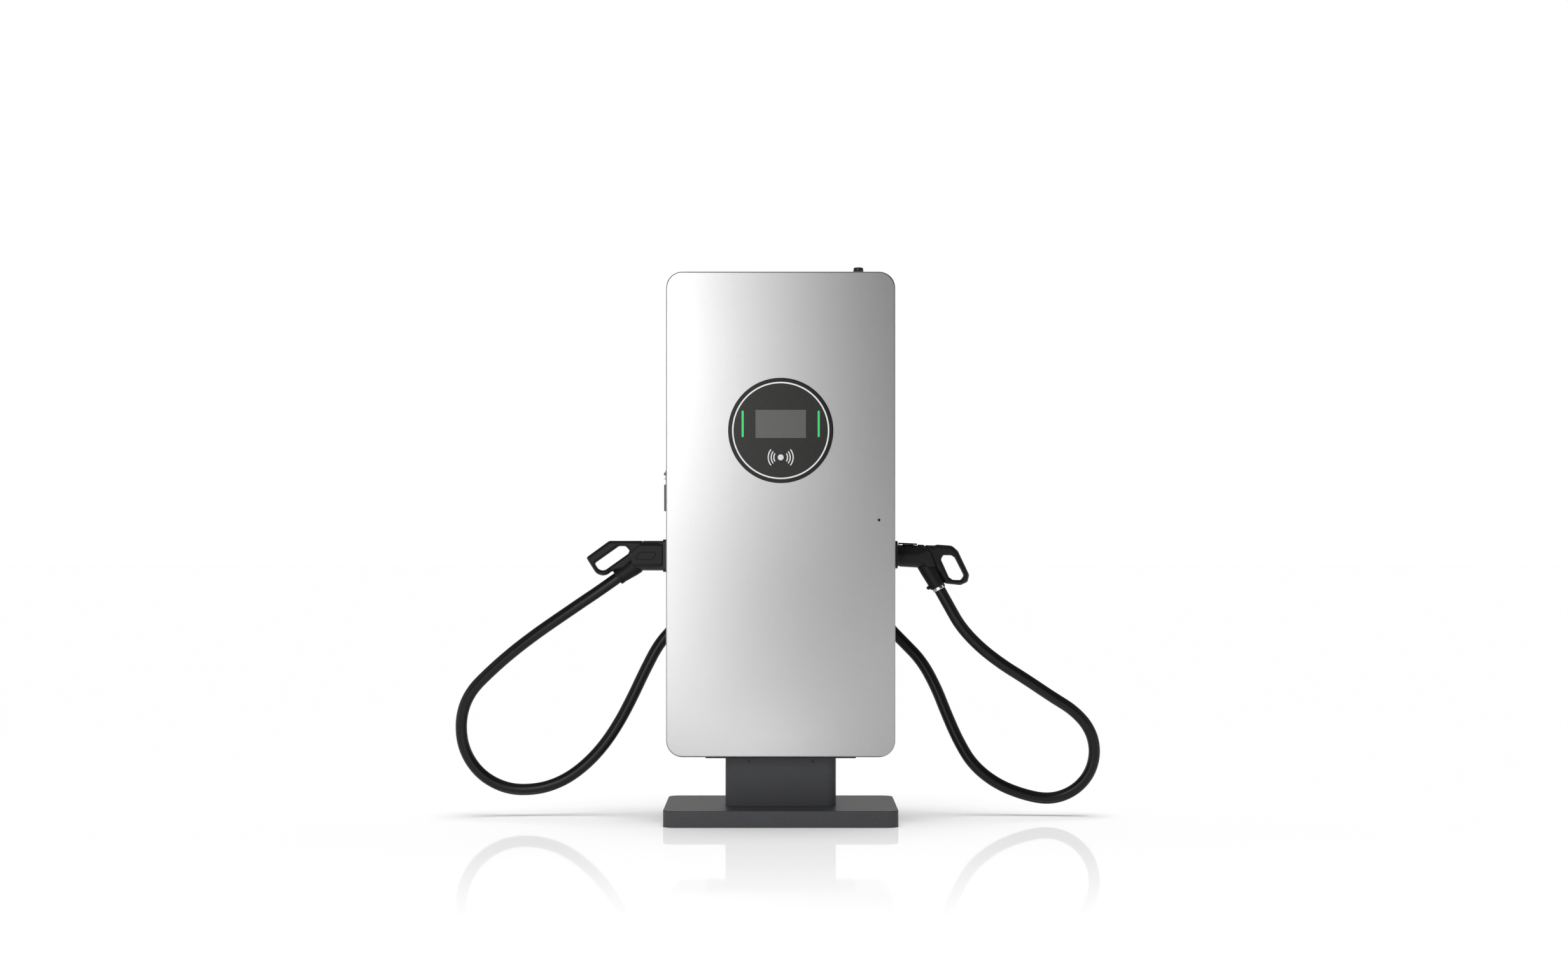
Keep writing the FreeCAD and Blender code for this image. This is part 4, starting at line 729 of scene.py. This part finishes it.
floor_shader.inputs["Roughness"].default_value = FLOOR_ROUGH
floor_shader.inputs["Specular IOR Level"].default_value = 0
spot = floor_tree.nodes.new("ShaderNodeTexCoord")
axes = floor_tree.nodes.new("ShaderNodeSeparateXYZ")
floor_tree.links.new(spot.outputs["Object"], axes.inputs["Vector"])

# A faint mirror over the floor, which fades out towards the camera.
fade = floor_tree.nodes.new("ShaderNodeMapRange")
fade.interpolation_type = "SMOOTHSTEP"
fade.inputs["From Min"].default_value = MIRROR_START
fade.inputs["From Max"].default_value = MIRROR_END
fade.inputs["To Min"].default_value = 0.0
fade.inputs["To Max"].default_value = MIRROR_SHARE
floor_tree.links.new(axes.outputs["Y"], fade.inputs["Value"])
mirror = floor_tree.nodes.new("ShaderNodeBsdfGlossy")
mirror.inputs["Roughness"].default_value = MIRROR_ROUGH
polish = floor_tree.nodes.new("ShaderNodeMixShader")
floor_tree.links.new(fade.outputs["Result"], polish.inputs["Fac"])
floor_tree.links.new(floor_shader.outputs["BSDF"], polish.inputs[1])
floor_tree.links.new(mirror.outputs["BSDF"], polish.inputs[2])
floor_tree.links.new(polish.outputs["Shader"], floor_tree.nodes["Material Output"].inputs["Surface"])
floor.data.materials.append(floor_mat)


def lamp_object(name, data, place, aim):
    """A lamp at a place that points at its aim and that the camera doesn't see."""
    lamp = bpy.data.objects.new(name, data)
    bpy.context.scene.collection.objects.link(lamp)
    lamp.location = place
    lamp.rotation_mode = "QUATERNION"
    lamp.rotation_quaternion = (Vector(aim) - Vector(place)).to_track_quat("-Z", "Y")
    lamp.visible_camera = False
    return lamp


# The floor has a light of its own and the studio lamps pass it by, so that it is evenly white.
floor_alone = bpy.data.collections.new("floor_alone")
floor_alone.objects.link(floor)
all_but_floor = bpy.data.collections.new("all_but_floor")
all_but_floor.objects.link(floor)
all_but_floor.collection_objects[0].light_linking.link_state = "EXCLUDE"


def softbox(name, place, aim, wide, tall, radiance):
    """A rectangular lamp with the given brightness of its face."""
    data = bpy.data.lights.new(name, "AREA")
    data.shape = "RECTANGLE"
    data.size, data.size_y = wide, tall
    data.energy = radiance * math.pi * wide * tall
    lamp_object(name, data, place, aim).light_linking.receiver_collection = all_but_floor


# Name, place, aim, width, height, brightness.
softbox("key_low", (-0.94, -3.2, 0.6), (-0.5, 0, 0.6), 1.1, 1.1, 3.0)
softbox("key_middle", (-0.94, -3.2, 1.6), (-0.5, 0, 1.6), 1.1, 1.1, 4.9)
softbox("key_high", (-0.94, -3.2, 2.8), (-0.5, 0, 2.8), 1.1, 1.1, 5.8)
softbox("fill", (-0.05, -3.2, 2.0), (-0.05, 0, 2.0), 0.4, 2.2, 1.15)
softbox("fill_low", (0.5, -3.2, 0.25), (0.2, 0, 0.3), 1.8, 0.5, 0.25)
softbox("floor_glow", (-0.1, -2.0, 0.07), (-0.1, 0, 0.2), 0.5, 0.12, 3.0)
softbox("top", (0, -0.4, 4.0), (0, 0, 0), 4.0, 3.0, 0.3)
softbox("side_right", (3.5, -0.9, 1.2), (0.35, -0.1, 1.0), 1.4, 2.6, 0.8)
softbox("side_left", (-3.5, -0.9, 1.2), (-0.35, -0.1, 1.0), 1.4, 2.6, 1.2)

FLOOR_LIGHT, FLOOR_SOFTNESS = 2.95, math.radians(40)
floor_light = bpy.data.lights.new("floor_light", "SUN")
floor_light.energy = FLOOR_LIGHT
floor_light.angle = FLOOR_SOFTNESS
floor_lamp = lamp_object("floor_light", floor_light, (0, 0, 5), (0, 0.3, 0))
floor_lamp.light_linking.receiver_collection = floor_alone

# The world is dark in front of the post and bright behind it. The camera sees it white.
world = bpy.data.worlds.new("studio")
bpy.context.scene.world = world
world.use_nodes = True
tree = world.node_tree


def world_node(kind, **values):
    """A node of the world, with values for its inputs."""
    node = tree.nodes.new(kind)
    for key, value in values.items():
        node.inputs[key.replace("_", " ")].default_value = value
    return node


way = world_node("ShaderNodeTexCoord")
parts = world_node("ShaderNodeSeparateXYZ")
across = world_node("ShaderNodeMapRange", From_Min=-0.8, From_Max=0.8, To_Min=0.10, To_Max=0.03)
behind = world_node("ShaderNodeMapRange", From_Min=0.0, From_Max=0.55, To_Min=0.0, To_Max=1.0)
behind.interpolation_type = "SMOOTHSTEP"
above = world_node("ShaderNodeMapRange", From_Min=0.25, From_Max=0.5, To_Min=1.0, To_Max=0.3)
above.interpolation_type = "SMOOTHSTEP"
lighting = world_node("ShaderNodeMix")
seen = world_node("ShaderNodeLightPath")
level = world_node("ShaderNodeMix")
level.inputs["B"].default_value = 1.0
background = tree.nodes["Background"]
background.inputs["Color"].default_value = (1, 1, 1, 1)
tree.links.new(way.outputs["Generated"], parts.inputs["Vector"])
tree.links.new(parts.outputs["X"], across.inputs["Value"])
tree.links.new(parts.outputs["Y"], behind.inputs["Value"])
tree.links.new(parts.outputs["Z"], above.inputs["Value"])
tree.links.new(behind.outputs["Result"], lighting.inputs["Factor"])
tree.links.new(above.outputs["Result"], lighting.inputs["B"])
tree.links.new(across.outputs["Result"], lighting.inputs["A"])
tree.links.new(seen.outputs["Is Camera Ray"], level.inputs["Factor"])
tree.links.new(lighting.outputs["Result"], level.inputs["A"])
tree.links.new(level.outputs["Result"], background.inputs["Strength"])

# ---------------------------------------------------------------- the end
bpy.context.view_layer.update()
